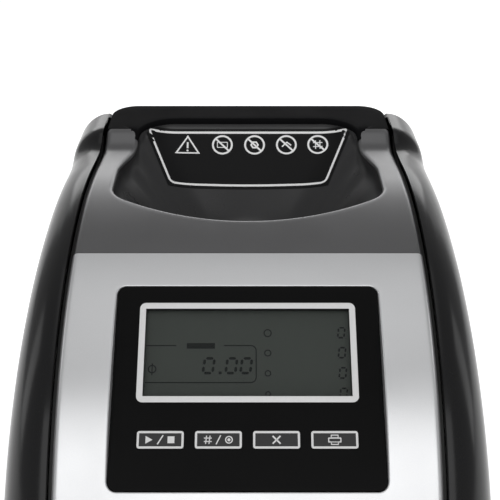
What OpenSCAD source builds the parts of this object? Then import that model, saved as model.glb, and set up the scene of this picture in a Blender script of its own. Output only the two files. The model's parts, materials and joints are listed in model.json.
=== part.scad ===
// Counter-top coin sorting machine.
// Origin at the bottom centre, +X to the right seen from the front, +Y to the back, +Z up.
// All sizes are in millimetres.

/* [Body] */
// Width across the two side panels
body_w = 224; // [218:1:230]
// Depth from the front face to the rear cover
body_d = 274; // [272:1:278]
// Height where the vertical front starts to lean back
shoulder_z = 116; // [114:1:118]
// Radius of the curved silver front
front_r = 182.5; // [180:0.5:185]
// Slope of the skin at the seam between the front and the top cover
seam_slope = 22.25; // [22:0.25:24]
// Radius of the curved top cover
top_r = 244; // [238:1:246]
// Wall thickness of the moulded covers
wall = 2.5; // [2:0.1:3]
// Width of the shadow gap beside the centre covers
reveal = 2; // [1.6:0.1:2.4]
// Half width of the centre covers at the front
cover_half = 84; // [83:0.5:85]
// Narrowing of the centre covers towards the back, on each side
cover_taper = 2; // [1:0.5:2.5]

/* [Control panel] */
// Width of the control panel
panel_w = 120; // [116:1:124]
// Slope of the skin at the panel's top edge
panel_top_slope = 28.9; // [28:0.1:30]
// Slope of the skin at the panel's bottom edge
panel_bottom_slope = 58.7; // [58:0.1:59.5]
// Width of the display opening
display_w = 93.2; // [90:0.1:95]
// Height of the display opening
display_h = 41.4; // [40:0.1:42]
// Width of one key
key_w = 21.2; // [20:0.1:22]
// Height of one key
key_h = 8.5; // [8:0.1:9]
// Distance from one key to the next
key_pitch = 25.3; // [25:0.1:26]

/* [Hopper] */
// Half width of the hopper's mouth
mouth_half = 67; // [65:0.5:68]
// Front edge of the hopper's mouth
mouth_front_y = 0.5; // [0:0.5:2]
// Rear edge of the hopper's mouth
mouth_rear_y = 113.5; // [112:0.5:115]
// Inner radius of the round well under the mouth
well_r = 42; // [40:0.5:43]
// Number of coin pockets in the disc
pocket_count = 5; // [4:1:5]

/* [Tray and tubes] */
// Inner diameters of the coin tubes, one for each coin size
tube_bores = [19.1, 20.2, 22.4, 25.4];
// Height of a coin tube
tube_h = 95; // [85:1:97]
// Wall thickness of a coin tube
tube_wall = 1.2; // [1:0.1:1.3]
// Distance between the tubes, both ways
tube_pitch = 33; // [32:0.5:33]

/* [Drive] */
// Teeth on the disc gear
disc_teeth = 32; // [32]
// Teeth on the motor pinion
pinion_teeth = 16; // [16]
// Gear module
gear_module = 1.25; // [1.25]

/* [Hidden] */
COINS = ["dime", "penny", "nickel", "quarter"];
ROWS = [1, 2, 3, 4];
$fn = 64;

// Colours of the mouldings and of the metal inside
silver = [0.68, 0.69, 0.71];
graphite = [0.3, 0.3, 0.31];
gloss_black = [0.05, 0.05, 0.06];
soft_black = [0.1, 0.1, 0.1];
off_white = [0.9, 0.9, 0.9];
board_green = [0.05, 0.3, 0.15];
steel = [0.6, 0.6, 0.62];
clear = [0.8, 0.88, 0.92, 0.4];

// ---- Side view of the skin: a path of tangent arcs from the front face to the hopper's rim ----
front_y = -body_d / 2;
rear_y = body_d / 2;
// Each bend is [radius, slope at its end, number of steps]; the path starts straight up.
BENDS = [[front_r, seam_slope, 26], [top_r, 1.7, 10], [250, 6, 3], [22, 43, 6], [13, 6.5, 5]];
FRONT_STEPS = BENDS[0][2];
rim_slope = BENDS[4][1];

function bend_end(p, r, a, b) = p + r * sign(b - a) * [sin(b) - sin(a), cos(a) - cos(b)];
function bend_points(p, a, bend) =
    [for (i = [1:bend[2]]) let(h = a + (bend[1] - a) * i / bend[2]) concat(bend_end(p, bend[0], a, h), h)];
function walk(p, a, k) = k == len(BENDS) ? [] :
    concat(bend_points(p, a, BENDS[k]), walk(bend_end(p, BENDS[k][0], a, BENDS[k][1]), BENDS[k][1], k + 1));
// Points of the skin as [y, z, slope]
SKIN = concat([[front_y, shoulder_z, 90]], walk([front_y, shoulder_z], 90, 0));
LAST = len(SKIN) - 1;
skin_end = SKIN[LAST];

function inset(p, d) = [p[0] + d * sin(p[2]), p[1] - d * cos(p[2])];
function inset_path(d, first, last) = [for (i = [first:last]) inset(SKIN[i], d)];
function reversed(points) = [for (i = [len(points) - 1:-1:0]) points[i]];

// The strip of the side view between two depths under the skin
module skin_band(outer, inner, first, last) {
    polygon(concat(inset_path(outer, first, last), reversed(inset_path(inner, first, last))));
}

// Extrudes a side view across the machine, from x0 to x1
module across(x0, x1) {
    translate([x0, 0, 0]) rotate([90, 0, 90]) linear_extrude(x1 - x0) children();
}

// Everything deeper than d under the skin, from the bottom up
module under_skin(d, half, last = LAST) {
    across(-half, half)
        polygon(concat([[front_y + d, 0]], inset_path(d, 0, last), [[inset(SKIN[last], d)[0], 0]]));
}

// ---- Plan views ----
// Longer than any distance inside the machine, for cutting away a whole side of it
far = 200;
cover_half_rear = cover_half - cover_taper;
taper_from = 20;
taper_to = 100;
rim_corner_r = 15;

// Outline of the centre covers from above
module cover_plan() {
    polygon([[-cover_half, front_y - 1], [cover_half, front_y - 1], [cover_half, taper_from],
        [cover_half_rear, taper_to], [cover_half_rear, rear_y], [-cover_half_rear, rear_y],
        [-cover_half_rear, taper_to], [-cover_half, taper_from]]);
}

module rounded_rect(w, h, r) {
    square([w - 2 * r, h], center = true);
    square([w, h - 2 * r], center = true);
    for (x = [-1, 1], y = [-1, 1])
        translate([x * (w / 2 - r), y * (h / 2 - r)]) circle(r);
}

// Rectangle from y0 to y1 with two round corners at y1
module tongue(half, y0, y1, r) {
    intersection() {
        translate([-half, y0]) square([2 * half, y1 - y0]);
        translate([0, y1 - half]) rounded_rect(2 * half, 2 * half, r);
    }
}

mouth_front_r = 106;
mouth_corner_r = 22;
// Mouth of the hopper from above, grown by g all round
module mouth_plan(g = 0) {
    intersection() {
        tongue(mouth_half + g, mouth_front_y - g - 1, mouth_rear_y + g, mouth_corner_r + g);
        translate([0, mouth_front_y + mouth_front_r]) circle(mouth_front_r + g, $fn = 180);
    }
}

// ---- Side panels: rings that shrink towards the rear top edge as they go outwards ----
wall_x = body_w / 2;
lean_in_from = 104;
lean_in_r = 1937;
shrink = 0.145;
shrink_z = 184;
panel_bottom_z = 6;
panel_top_y = 122;
panel_rear_r = 10;
panel_wall = 3;
skin_shrink = 0.015;
top_strip = 0.2;
RINGS = 8;

// The panel's inner edge keeps beside the covers and follows the rim's rear corner
gap_corner_y = rear_y - rim_corner_r;
function panel_gap_x(y) = y > gap_corner_y
    ? cover_half_rear - rim_corner_r + sqrt(pow(rim_corner_r + reveal, 2) - pow(y - gap_corner_y, 2))
    : cover_half + reveal - cover_taper * min(1, max(0, (y - taper_from) / (taper_to - taper_from)));
function wall_x_at(z) = wall_x - pow(max(0, z - lean_in_from), 2) / (2 * lean_in_r);
// The top edge runs on from the skin's end, in line with the rim
panel_top = [panel_top_y, skin_end[1] + (panel_top_y - skin_end[0]) * tan(rim_slope)];
TOP_RUN = [for (i = [1:4]) [skin_end[0], skin_end[1]] + (panel_top - [skin_end[0], skin_end[1]]) * i / 4];
// How far the rear rounding has come at a height: 1 below it, 0 at the top edge
function rear_share(z) = let(above = max(0, z - (panel_top[1] - panel_rear_r)))
    sqrt(max(0, 1 - pow(above / panel_rear_r, 2)));
function panel_rear_at(z) = panel_top_y + top_strip + panel_rear_r * rear_share(z);
// Share of its distance that a point keeps at ring angle a; inside is 0 for the outer skin, 1 for the inner
function ring_share(a, inside) = 1 - shrink * (1 - cos(a)) - skin_shrink * inside;
function ring_z(z, s) = z > shrink_z ? shrink_z + (z - shrink_z) * s : z;
function ring_x(edge, z, a, inside) = edge + (wall_x_at(z) - panel_wall * inside - edge) * sin(a);
function front_point(base, a, inside) = let(s = ring_share(a, inside), z = ring_z(base[1], s))
    [ring_x(panel_gap_x(base[0]), z, a, inside), panel_top_y + (base[0] - panel_top_y) * s, z];
function rear_point(base_z, a, inside) = let(z = ring_z(base_z, ring_share(a, inside)),
    r = (panel_rear_r - panel_wall * inside) * rear_share(base_z))
    [ring_x(panel_gap_x(panel_rear_at(base_z)), z, a, inside), panel_top_y + top_strip + r * cos(a), z];
// The rows of the panel from the bottom up
LOW_ROWS = [for (z = [panel_bottom_z, 43, 80]) [front_y, z]];
PANEL_ROWS = concat(LOW_ROWS, [for (p = SKIN) [p[0], p[1]]], TOP_RUN);
function panel_row(i, inside) = concat(
    [for (j = [0:RINGS]) front_point(PANEL_ROWS[i], 90 * j / RINGS, inside)],
    [for (j = [RINGS:-1:0]) rear_point(PANEL_ROWS[i][1], 90 * j / RINGS, inside)]);

module side_panel_shape() {
    rows = len(PANEL_ROWS);
    cols = 2 * RINGS + 2;
    points = [for (inside = [0, 1], i = [0:rows - 1]) each panel_row(i, inside)];
    top = rows - 1;
    function at(inside, i, j) = (inside * rows + i) * cols + j;
    // A face on both skins, the inner one turned over
    function both(a, b, c, d) = [
        [at(0, a[0], a[1]), at(0, b[0], b[1]), at(0, c[0], c[1]), at(0, d[0], d[1])],
        [at(1, d[0], d[1]), at(1, c[0], c[1]), at(1, b[0], b[1]), at(1, a[0], a[1])]];
    // A face across the wall's thickness
    function edge(a, b) = [at(0, b[0], b[1]), at(0, a[0], a[1]), at(1, a[0], a[1]), at(1, b[0], b[1])];
    faces = concat(
        [for (i = [0:top - 1], j = [0:cols - 2]) each both([i, j], [i + 1, j], [i + 1, j + 1], [i, j + 1])],
        [for (j = [0:RINGS - 1]) each both([top, j], [top, cols - 1 - j], [top, cols - 2 - j], [top, j + 1])],
        [for (i = [0:top - 1]) edge([i, 0], [i + 1, 0])],
        [edge([top, 0], [top, cols - 1])],
        [for (i = [top:-1:1]) edge([i, cols - 1], [i - 1, cols - 1])],
        [for (j = [cols - 1:-1:1]) edge([0, j], [0, j - 1])]);
    polyhedron(points, faces);
}

// ---- Slanted frame of the control panel: X right, Y up the panel, Z out of it ----
panel_slope = (panel_top_slope + panel_bottom_slope) / 2;
panel_spread = (panel_bottom_slope - panel_top_slope) / 2;
panel_h = 2 * front_r * sin(panel_spread);
panel_depth = front_r * cos(panel_spread);
panel_r = 4;
panel_t = 2.5;
display_y = 15.3;
keys_y = -25;
bezel_line = 2.8;
fit_gap = 0.3;

module on_panel() {
    translate([0, front_y + front_r - panel_depth * sin(panel_slope),
        shoulder_z + panel_depth * cos(panel_slope)])
        rotate([panel_slope, 0, 0]) children();
}

// Slab of the panel frame between two heights
module panel_slab(z0, z1) {
    translate([0, 0, z0]) linear_extrude(z1 - z0) children();
}

module key_places() {
    for (k = [0:3])
        translate([(k - 1.5) * key_pitch, keys_y]) children();
}

// ---- Shared hardware sizes ----
screw_r = 1.5;
screw_hole_r = 1.6;
head_r = 2.8;
head_h = 1.6;
post_r = 3;

module screw(length) {
    cylinder(r = screw_r, h = length);
    translate([0, 0, -head_h]) cylinder(r = head_r, h = head_h);
}

// ---- Base ----
feet_h = 5;
pan_z = feet_h;
pan_t = 3;
pan_top = pan_z + pan_t;
foot_x = 82;
foot_front_y = -100;
foot_rear_y = 96;
foot_r = 10;
foot_peg_r = 3;
foot_taper = 1.5;
frame_x0 = cover_half + 0.25;
frame_t = 1.5;
frame_x1 = frame_x0 + frame_t;
frame_foot_x = 91;
FRAME_SCREWS = [-86, 0, 78];
board_z = 18;
post_hole_depth = 7;
MAIN_POSTS = [[18, 28], [70, 28], [18, 108], [70, 108]];
SUPPLY_POSTS = [[-74, 36], [-6, 36], [-74, 104], [-6, 104]];

module pan_plan() {
    clearance = 0.6;
    row = panel_row(0, 1);
    half = concat([[0, front_y + panel_wall]], [for (p = row) [p[0] - clearance, p[1]]],
        [[0, panel_rear_at(0)]]);
    polygon(half);
    mirror([1, 0]) polygon(half);
    tongue(cover_half_rear - wall - clearance, 0, back_y - wall - clearance, rim_corner_r - wall);
}

module base_pan() color(soft_black) {
    difference() {
        union() {
            translate([0, 0, pan_z]) linear_extrude(pan_t) pan_plan();
            for (p = concat(MAIN_POSTS, SUPPLY_POSTS))
                translate([p[0], p[1], pan_top]) cylinder(r = post_r, h = board_z - pan_top);
        }
        for (x = [-foot_x, foot_x], y = [foot_front_y, foot_rear_y])
            translate([x, y, pan_z - 1]) cylinder(r = foot_peg_r, h = pan_t + 2);
        for (x = [-frame_foot_x, frame_foot_x], y = FRAME_SCREWS)
            translate([x, y, pan_z - 1]) cylinder(r = screw_hole_r, h = pan_t + 2);
        for (p = concat(MAIN_POSTS, SUPPLY_POSTS))
            translate([p[0], p[1], board_z - post_hole_depth]) cylinder(r = screw_r, h = post_hole_depth + 1);
    }
}

module rubber_feet() color(soft_black) {
    for (x = [-foot_x, foot_x], y = [foot_front_y, foot_rear_y])
        translate([x, y, 0]) {
            cylinder(r1 = foot_r - foot_taper, r2 = foot_r, h = feet_h);
            cylinder(r = foot_peg_r, h = feet_h + pan_t);
        }
}

// ---- Side frames: a steel plate under each shadow gap ----
frame_inset = 5;
frame_rear_y = 100;
frame_hole_r = 15;
frame_flange_w = 12;
frame_flange_half = 100;
PLATE_SCREWS = [-6, 70];
plate_screw_z = 213;

module frame_outline() {
    edge = [for (p = inset_path(frame_inset, 0, LAST)) p[0] < frame_rear_y ? p : [frame_rear_y, p[1]]];
    polygon(concat([[front_y + frame_inset, pan_top]], edge,
        [[frame_rear_y, edge[len(edge) - 1][1]], [frame_rear_y, pan_top]]));
}

module side_frame() {
    difference() {
        union() {
            across(frame_x0, frame_x1) frame_outline();
            translate([frame_x0, -frame_flange_half, pan_top])
                cube([frame_flange_w, 2 * frame_flange_half, frame_t]);
        }
        for (y = [-90, -50, -10, 30, 70], z = [40, 80, 120, 160])
            translate([frame_x0 - 1, y, z]) rotate([0, 90, 0]) cylinder(r = frame_hole_r, h = frame_t + 2);
        for (y = FRAME_SCREWS)
            translate([frame_foot_x, y, pan_top - 1]) cylinder(r = screw_hole_r, h = frame_t + 2);
        for (y = PLATE_SCREWS)
            translate([frame_x0 - 1, y, plate_screw_z]) rotate([0, 90, 0])
                cylinder(r = screw_hole_r, h = frame_t + 2);
    }
}

module side_frame_right() color(soft_black) side_frame();
module side_frame_left() color(soft_black) mirror([1, 0, 0]) side_frame();
module side_panel_right() color(gloss_black) side_panel_shape();
module side_panel_left() color(gloss_black) mirror([1, 0, 0]) side_panel_shape();

// ---- Covers ----
silver_bottom_z = 138;
skirt_t = 2;
skirt_h = 6;
seam_gap = 0.15;

// Cover made of a skin and a skirt along each side
module cover_shape(first, last) {
    intersection() {
        union() {
            across(-cover_half, cover_half) skin_band(0, wall, first, last);
            for (side = [-1, 1])
                scale([side, 1, 1]) across(cover_half - skirt_t - cover_taper, cover_half)
                    skin_band(0, skirt_h, first, last);
        }
        linear_extrude(400) cover_plan();
    }
}

module recess_ring() {
    margin = 1.5;
    panel_slab(-panel_t - 1, 8) difference() {
        rounded_rect(panel_w + 2 * (fit_gap + margin), panel_h + 2 * (fit_gap + margin),
            panel_r + fit_gap + margin);
        rounded_rect(panel_w + 2 * fit_gap, panel_h + 2 * fit_gap, panel_r + fit_gap);
    }
}

module front_shell() color(silver) {
    lip_d = 5;
    difference() {
        union() {
            cover_shape(0, FRONT_STEPS);
            intersection() {
                on_panel() recess_ring();
                under_skin(0, cover_half);
            }
            translate([-cover_half + skirt_t, front_y + wall, silver_bottom_z])
                cube([2 * (cover_half - skirt_t), lip_d, skirt_t]);
        }
        on_panel() panel_slab(-12, 10)
            rounded_rect(panel_w + 2 * fit_gap, panel_h + 2 * fit_gap, panel_r + fit_gap);
        translate([-body_w / 2, front_y - 1, 0]) cube([body_w, 60, silver_bottom_z]);
    }
}

arm_end_y = 98.5;
arm_corner_r = 5;
// Outline of the top cover's opening, with the arms' rear corners rounded
module arm_cut() {
    mouth_plan();
    translate([-mouth_half, arm_end_y - arm_corner_r]) square([2 * mouth_half, 60]);
    for (side = [-1, 1])
        difference() {
            translate([side * (mouth_half + arm_corner_r / 2), arm_end_y - arm_corner_r / 2])
                square(arm_corner_r, center = true);
            translate([side * (mouth_half + arm_corner_r), arm_end_y - arm_corner_r]) circle(arm_corner_r);
        }
    translate([-body_w, arm_end_y]) square([2 * body_w, 60]);
}

module top_cover() color(graphite) {
    difference() {
        cover_shape(FRONT_STEPS, LAST);
        translate([0, 0, 200]) linear_extrude(200) arm_cut();
        // Hair line between the top cover and the silver front
        translate([0, SKIN[FRONT_STEPS][0], SKIN[FRONT_STEPS][1]]) rotate([seam_slope, 0, 0])
            cube([body_w, 2 * seam_gap, 60], center = true);
    }
}

// ---- Hopper ----
well_y = 33;
well_top_z = 258;
plate_top_z = 225;
plate_t = 3;
shelf_z = 297;
shelf_h = 3;
rear_edge_z = 316;
funnel_split_y = 91.5;
bowl_wall = 2.5;
rim_t = 3;
outlet_x = -24;
outlet_w = 30;
outlet_h = 4.5;

// The part of the mouth in front of the sloping rear wall
module funnel_front(g) {
    intersection() {
        mouth_plan(g);
        translate([-far, funnel_split_y - far]) square([2 * far, far]);
    }
}

// Space inside the hopper, grown by g: funnel, well, and straight sides through the cover
module hopper_space(g) {
    hull() {
        translate([0, 0, shelf_z]) linear_extrude(shelf_h) funnel_front(g);
        translate([0, 0, rear_edge_z]) linear_extrude(0.1) intersection() {
            mouth_plan(g);
            translate([-far, funnel_split_y - 7]) square([2 * far, far]);
        }
        translate([0, well_y, well_top_z]) cylinder(r = well_r + g, h = 0.1);
    }
    translate([0, well_y, plate_top_z]) cylinder(r = well_r + g, h = well_top_z - plate_top_z);
    translate([0, 0, shelf_z]) linear_extrude(far) funnel_front(g);
}

// Half space under the sloping rim
module under_rim(d) {
    translate([0, skin_end[0], skin_end[1] - d]) rotate([rim_slope, 0, 0])
        translate([-far, -far, -far]) cube([2 * far, 2 * far, far]);
}

module hopper_bowl() color(soft_black) {
    flange_r = 50;
    hood = 0.3;
    difference() {
        union() {
            intersection() {
                hopper_space(bowl_wall);
                union() {
                    under_skin(wall + hood, cover_half - skirt_t - cover_taper - hood);
                    under_rim(0);
                }
                union() {
                    under_skin(wall + hood, cover_half - skirt_t - cover_taper - hood);
                    translate([-far, arm_end_y + hood, 0]) cube([2 * far, far, 2 * far]);
                }
            }
            intersection() {
                linear_extrude(2 * far)
                    tongue(cover_half_rear, arm_end_y + hood, rear_y, rim_corner_r);
                difference() {
                    under_rim(0);
                    under_rim(rim_t);
                }
            }
            translate([0, well_y, plate_top_z]) cylinder(r = flange_r, h = bowl_wall);
        }
        hopper_space(0);
        translate([0, well_y, plate_top_z - 1]) cylinder(r = well_r, h = 10);
        translate([outlet_x - outlet_w / 2, well_y - flange_r - 5, plate_top_z - 0.1])
            cube([outlet_w, 40, outlet_h + 0.1]);
    }
}

// Lean of the hopper's back wall, and the frame of the label on it: X right, Y up the wall, Z off it
wall_lean = atan((mouth_rear_y - well_y - well_r) / (rear_edge_z - well_top_z));
label_drop = 6;
label_t = 0.4;
label_off = 0.02;
label_top_half = 61.5;
label_bottom_half = 46;
label_h = 38;

module on_back_wall() {
    translate([0, mouth_rear_y, rear_edge_z]) rotate([90 - wall_lean, 0, 0]) children();
}

// A thin layer on the inside of the back wall
module hopper_label() color(soft_black) {
    reach = 14;
    intersection() {
        difference() {
            hopper_space(-label_off);
            hopper_space(-label_off - label_t);
        }
        on_back_wall() translate([0, 0, -1]) linear_extrude(reach)
            polygon([[-label_top_half, -label_drop], [label_top_half, -label_drop],
                [label_bottom_half, -label_drop - label_h], [-label_bottom_half, -label_drop - label_h]]);
    }
}

// ---- Rear cover and what is set into it ----
vent_w = 56;
vent_h = 3;
vent_pitch = 8;
vent_count = 9;
vent_z = 200;
vent_x = 33;
socket_z = 42;
back_y = rear_y - 2;
inlet_x = -50;
switch_x = -12;
port_x = 32;
// Width and height of each socket's body
INLET_BODY = [27.4, 20];
SWITCH_BODY = [19.2, 13];
PORT_BODY = [18.4, 10.4];

// A box through the rear wall, centred at x and the sockets' height
module rear_cut(x, w, h, depth = 12) {
    translate([x - w / 2, back_y - depth, socket_z - h / 2]) cube([w, depth + 1, h]);
}

module rear_cover() color(soft_black) {
    arms_back_y = 104;
    low_part_h = 290;
    difference() {
        intersection() {
            translate([0, 0, pan_top + 0.2]) linear_extrude(2 * far) difference() {
                tongue(cover_half_rear, arms_back_y, back_y, rim_corner_r);
                tongue(cover_half_rear - wall, arms_back_y - 1, back_y - wall, rim_corner_r - wall);
            }
            union() {
                under_rim(rim_t + 0.2);
                translate([-far, 0, 0]) cube([2 * far, far, low_part_h]);
            }
        }
        for (side = [-1, 1], k = [0:vent_count - 1])
            translate([side * vent_x - vent_w / 2, back_y - 2 * wall, vent_z + k * vent_pitch])
                cube([vent_w, 4 * wall, vent_h]);
        rear_cut(inlet_x, INLET_BODY[0] + 0.6, INLET_BODY[1] + 0.5);
        rear_cut(switch_x, SWITCH_BODY[0] + 0.4, SWITCH_BODY[1] + 0.4);
        rear_cut(port_x, PORT_BODY[0] + 0.6, PORT_BODY[1] + 0.6);
    }
}

module power_inlet() color(soft_black) {
    depth = 20;
    flange = 2;
    corner_r = 3;
    pin_pitch = 7;
    pin = [4, 2];
    pin_start = 4;
    translate([inlet_x, back_y, socket_z]) rotate([90, 0, 0]) {
        difference() {
            union() {
                translate([0, 0, -flange]) linear_extrude(flange)
                    rounded_rect(INLET_BODY[0] + 3.6, INLET_BODY[1] + 4, corner_r);
                linear_extrude(depth) rounded_rect(INLET_BODY[0], INLET_BODY[1], corner_r);
            }
            translate([0, 0, -flange - 1]) linear_extrude(depth)
                rounded_rect(INLET_BODY[0] - 3.4, INLET_BODY[1] - 3.5, corner_r + 1);
        }
        for (k = [-1:1])
            translate([k * pin_pitch - pin[0] / 2, k == 0 ? 1 : -3, pin_start])
                cube([pin[0], pin[1], depth - pin_start]);
    }
}

rocker_w = 13.4;
rocker_tilt = 8;
rocker_pin_r = 1.5;
rocker_y = back_y - 3;

module switch_body() color(soft_black) {
    depth = 16;
    flange = 1.5;
    well = [rocker_w + 0.8, 10.8];
    well_depth = 9.5;
    pin_play = 0.05;
    translate([switch_x, back_y, socket_z]) rotate([90, 0, 0]) difference() {
        union() {
            translate([0, 0, -flange]) linear_extrude(flange)
                rounded_rect(SWITCH_BODY[0] + 2.8, SWITCH_BODY[1] + 8, 1.5);
            linear_extrude(depth) square(SWITCH_BODY, center = true);
        }
        translate([0, 0, -flange - 1]) linear_extrude(well_depth + flange + 1) square(well, center = true);
        translate([0, 0, back_y - rocker_y]) rotate([0, 90, 0])
            cylinder(r = rocker_pin_r + pin_play, h = SWITCH_BODY[0] - 1.2, center = true);
    }
}

// The rocker turns about a pin along X; its two halves lean away from each other
module switch_rocker() color(soft_black) {
    reach = 4.6;
    behind = 3;
    corner_r = 5.3;
    translate([switch_x, rocker_y, socket_z]) rotate([-rocker_tilt, 0, 0]) {
        translate([-rocker_w / 2, 0, 0]) rotate([90, 0, 90]) linear_extrude(rocker_w) intersection() {
            polygon([[-behind, -reach], [-behind, reach], [reach, reach], [reach - 1, 0], [reach, -reach]]);
            circle(corner_r);
        }
        rotate([0, 90, 0]) cylinder(r = rocker_pin_r, h = rocker_w + 3, center = true);
    }
}

// A port with nine pins in two rows and a hexagonal post on either side
module printer_port() color(steel) {
    flange = [31, 14];
    collar = [17, 9];
    collar_wall = 0.7;
    corner_r = 2;
    depth = 12;
    pin_pitch = 2.7;
    row_pitch = 2.8;
    post_x = 12.5;
    translate([port_x, back_y, socket_z]) rotate([90, 0, 0]) {
        difference() {
            union() {
                translate([0, 0, -1]) linear_extrude(1) rounded_rect(flange[0], flange[1], corner_r);
                linear_extrude(depth) square(PORT_BODY, center = true);
                translate([0, 0, -2]) linear_extrude(2) rounded_rect(collar[0], collar[1], corner_r);
            }
            translate([0, 0, -3]) linear_extrude(9)
                rounded_rect(collar[0] - 2 * collar_wall, collar[1] - 2 * collar_wall, 1.6);
        }
        for (row = [0, 1], k = [0:4 - row])
            translate([(k - 2 + row / 2) * pin_pitch, (row - 0.5) * row_pitch, 2.6]) cylinder(r = 0.5, h = 4);
        for (side = [-1, 1])
            translate([side * post_x, 0, -2]) cylinder(r = 2.4, h = 1.5, $fn = 6);
    }
}

// ---- Control panel ----
window_z = -4;
window_t = 1.3;
lcd_top_z = -4.2;
lcd_board_z = -10.3;
LCD_SIZE = [98, 45];
LCD_BOARD = [118, 48];
keypad_z = -9.6;
KEYPAD_BOARD = [116, 20];
keypad_switch_z = -5.2;
board_t = 1.6;
LCD_POSTS = [for (x = [-55, 55], y = [-20, 20]) [x, display_y + y]];
KEYPAD_POSTS = [for (x = [-54, 54], y = [-6.5, 6.5]) [x, keys_y + y]];

module control_panel() color(gloss_black) on_panel() {
    difference() {
        union() {
            panel_slab(-panel_t, 0) rounded_rect(panel_w, panel_h, panel_r);
            for (p = LCD_POSTS)
                translate([p[0], p[1], lcd_board_z + board_t])
                    cylinder(r = post_r, h = -lcd_board_z - board_t - 1);
            for (p = KEYPAD_POSTS)
                translate([p[0], p[1], keypad_z + board_t]) cylinder(r = post_r, h = -keypad_z - board_t - 1);
        }
        panel_slab(-20, 1) translate([0, display_y]) square([display_w, display_h], center = true);
        panel_slab(-panel_t - 1, 1) key_places() rounded_rect(key_w, key_h, 1.5);
        for (p = concat(LCD_POSTS, KEYPAD_POSTS))
            translate([p[0], p[1], -20]) cylinder(r = screw_r, h = 20 - panel_t);
    }
}

module display_bezel() color(off_white) on_panel() {
    panel_slab(0, 0.3) translate([0, display_y]) difference() {
        rounded_rect(display_w + 2 * bezel_line, display_h + 2 * bezel_line, bezel_line);
        square([display_w, display_h], center = true);
    }
}

module display_window() color(clear) on_panel() {
    panel_slab(window_z, window_z + window_t) translate([0, display_y]) square(LCD_SIZE, center = true);
}

module lcd_module() color(board_green) on_panel() {
    panel_slab(lcd_board_z + board_t, lcd_top_z) translate([0, display_y]) square(LCD_SIZE, center = true);
    difference() {
        panel_slab(lcd_board_z, lcd_board_z + board_t) translate([0, display_y])
            square(LCD_BOARD, center = true);
        for (p = LCD_POSTS)
            translate([p[0], p[1], -20]) cylinder(r = screw_hole_r, h = 20);
    }
}

module keypad_board() color(board_green) on_panel() {
    difference() {
        panel_slab(keypad_z, keypad_z + board_t) translate([0, keys_y]) square(KEYPAD_BOARD, center = true);
        for (p = KEYPAD_POSTS)
            translate([p[0], p[1], -20]) cylinder(r = screw_hole_r, h = 20);
    }
    key_places() {
        panel_slab(keypad_z + board_t, keypad_switch_z) square(6, center = true);
        translate([0, 0, keypad_switch_z]) cylinder(r = 1.7, h = 0.4);
    }
}

module key(k) color(gloss_black) on_panel() {
    proud = 0.4;
    play = 0.3;
    collar_z0 = -3.9;
    collar_z1 = -2.9;
    translate([(k - 1.5) * key_pitch, keys_y]) {
        panel_slab(collar_z1 - 0.5, proud) rounded_rect(key_w - 2 * play, key_h - 2 * play, 1.2);
        panel_slab(collar_z0, collar_z1) rounded_rect(key_w + 2, key_h + 2, 1.5);
    }
}

module key_run() key(0);
module key_mode() key(1);
module key_clear() key(2);
module key_print() key(3);

// ---- Boards on the base ----
MAIN_BOARD = [62, 90];
MAIN_CORNER = [13, 23];
SUPPLY_BOARD = [78, 78];
SUPPLY_CORNER = [-79, 31];

module main_board() color(board_green) {
    difference() {
        translate([MAIN_CORNER[0], MAIN_CORNER[1], board_z]) linear_extrude(board_t) square(MAIN_BOARD);
        for (p = MAIN_POSTS)
            translate([p[0], p[1], board_z - 1]) cylinder(r = screw_hole_r, h = board_t + 2);
    }
}

// Each entry is [x, y, width, depth, height]
CHIPS = [[36, 60, 14, 14, 2], [30, 86, 10, 18, 2.5], [56, 84, 18, 9, 2.5], [60, 58, 8, 8, 2],
    [44, 31, 22, 5, 7], [30, 104, 8, 8, 9], [58, 104, 10, 6, 10]];

// Blocks that stand on a board
module blocks(entries) {
    for (e = entries)
        translate([e[0] - e[2] / 2, e[1] - e[3] / 2, board_z + board_t]) cube([e[2], e[3], e[4]]);
}

module board_chips() color(soft_black) blocks(CHIPS);

// Transformer, heat sink and relay, and two round capacitors
SUPPLY_BLOCKS = [[-45, 60, 38, 32, 30], [-16.5, 69, 3, 50, 24], [-59, 94, 14, 20, 16]];
CAPACITORS = [[-40, 88], [-40, 100]];
module power_supply() color(board_green) {
    capacitor_r = 5.5;
    capacitor_h = 22;
    difference() {
        translate([SUPPLY_CORNER[0], SUPPLY_CORNER[1], board_z]) linear_extrude(board_t) square(SUPPLY_BOARD);
        for (p = SUPPLY_POSTS)
            translate([p[0], p[1], board_z - 1]) cylinder(r = screw_hole_r, h = board_t + 2);
    }
    blocks(SUPPLY_BLOCKS);
    for (p = CAPACITORS)
        translate([p[0], p[1], board_z + board_t]) cylinder(r = capacitor_r, h = capacitor_h);
}

// Route of the ribbon cable from the main board up to the keypad board, as [y, z]
ROUTE = [[31, 28], [28, 40], [16, 56], [12, 70], [12, 165], [6, 182], [-10, 193], [-60, 201], [-80, 209],
    [-86, 216]];
ribbon_t = 1;
function route_step(i) = ROUTE[min(i + 1, len(ROUTE) - 1)] - ROUTE[max(i - 1, 0)];
function route_along(i) = route_step(i) / norm(route_step(i));
function route_side(i, s) = ROUTE[i] + s * ribbon_t / 2 * [-route_along(i)[1], route_along(i)[0]];

module ribbon_cable() color(steel) {
    half_w = 8;
    centre_x = 44;
    steps = len(ROUTE) - 1;
    across(centre_x - half_w, centre_x + half_w)
        polygon(concat([for (i = [0:steps]) route_side(i, 1)], [for (i = [steps:-1:0]) route_side(i, -1)]));
}

// ---- Disc drive ----
shaft_r = 4;
shaft_play = 0.05;
bush_r = 7;
disc_z = plate_top_z + 0.5;
disc_t = 4;
gear_z = 206;
gear_h = 6;
gear_distance = gear_module * (disc_teeth + pinion_teeth) / 2;
motor_shaft_r = 2.5;
motor_shaft_depth = 12;
motor_boss_r = 5;
bracket_z = 198;
bracket_t = 2;
STANDOFFS = [[14, 2], [14, 64], [48, 2], [48, 64]];

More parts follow.
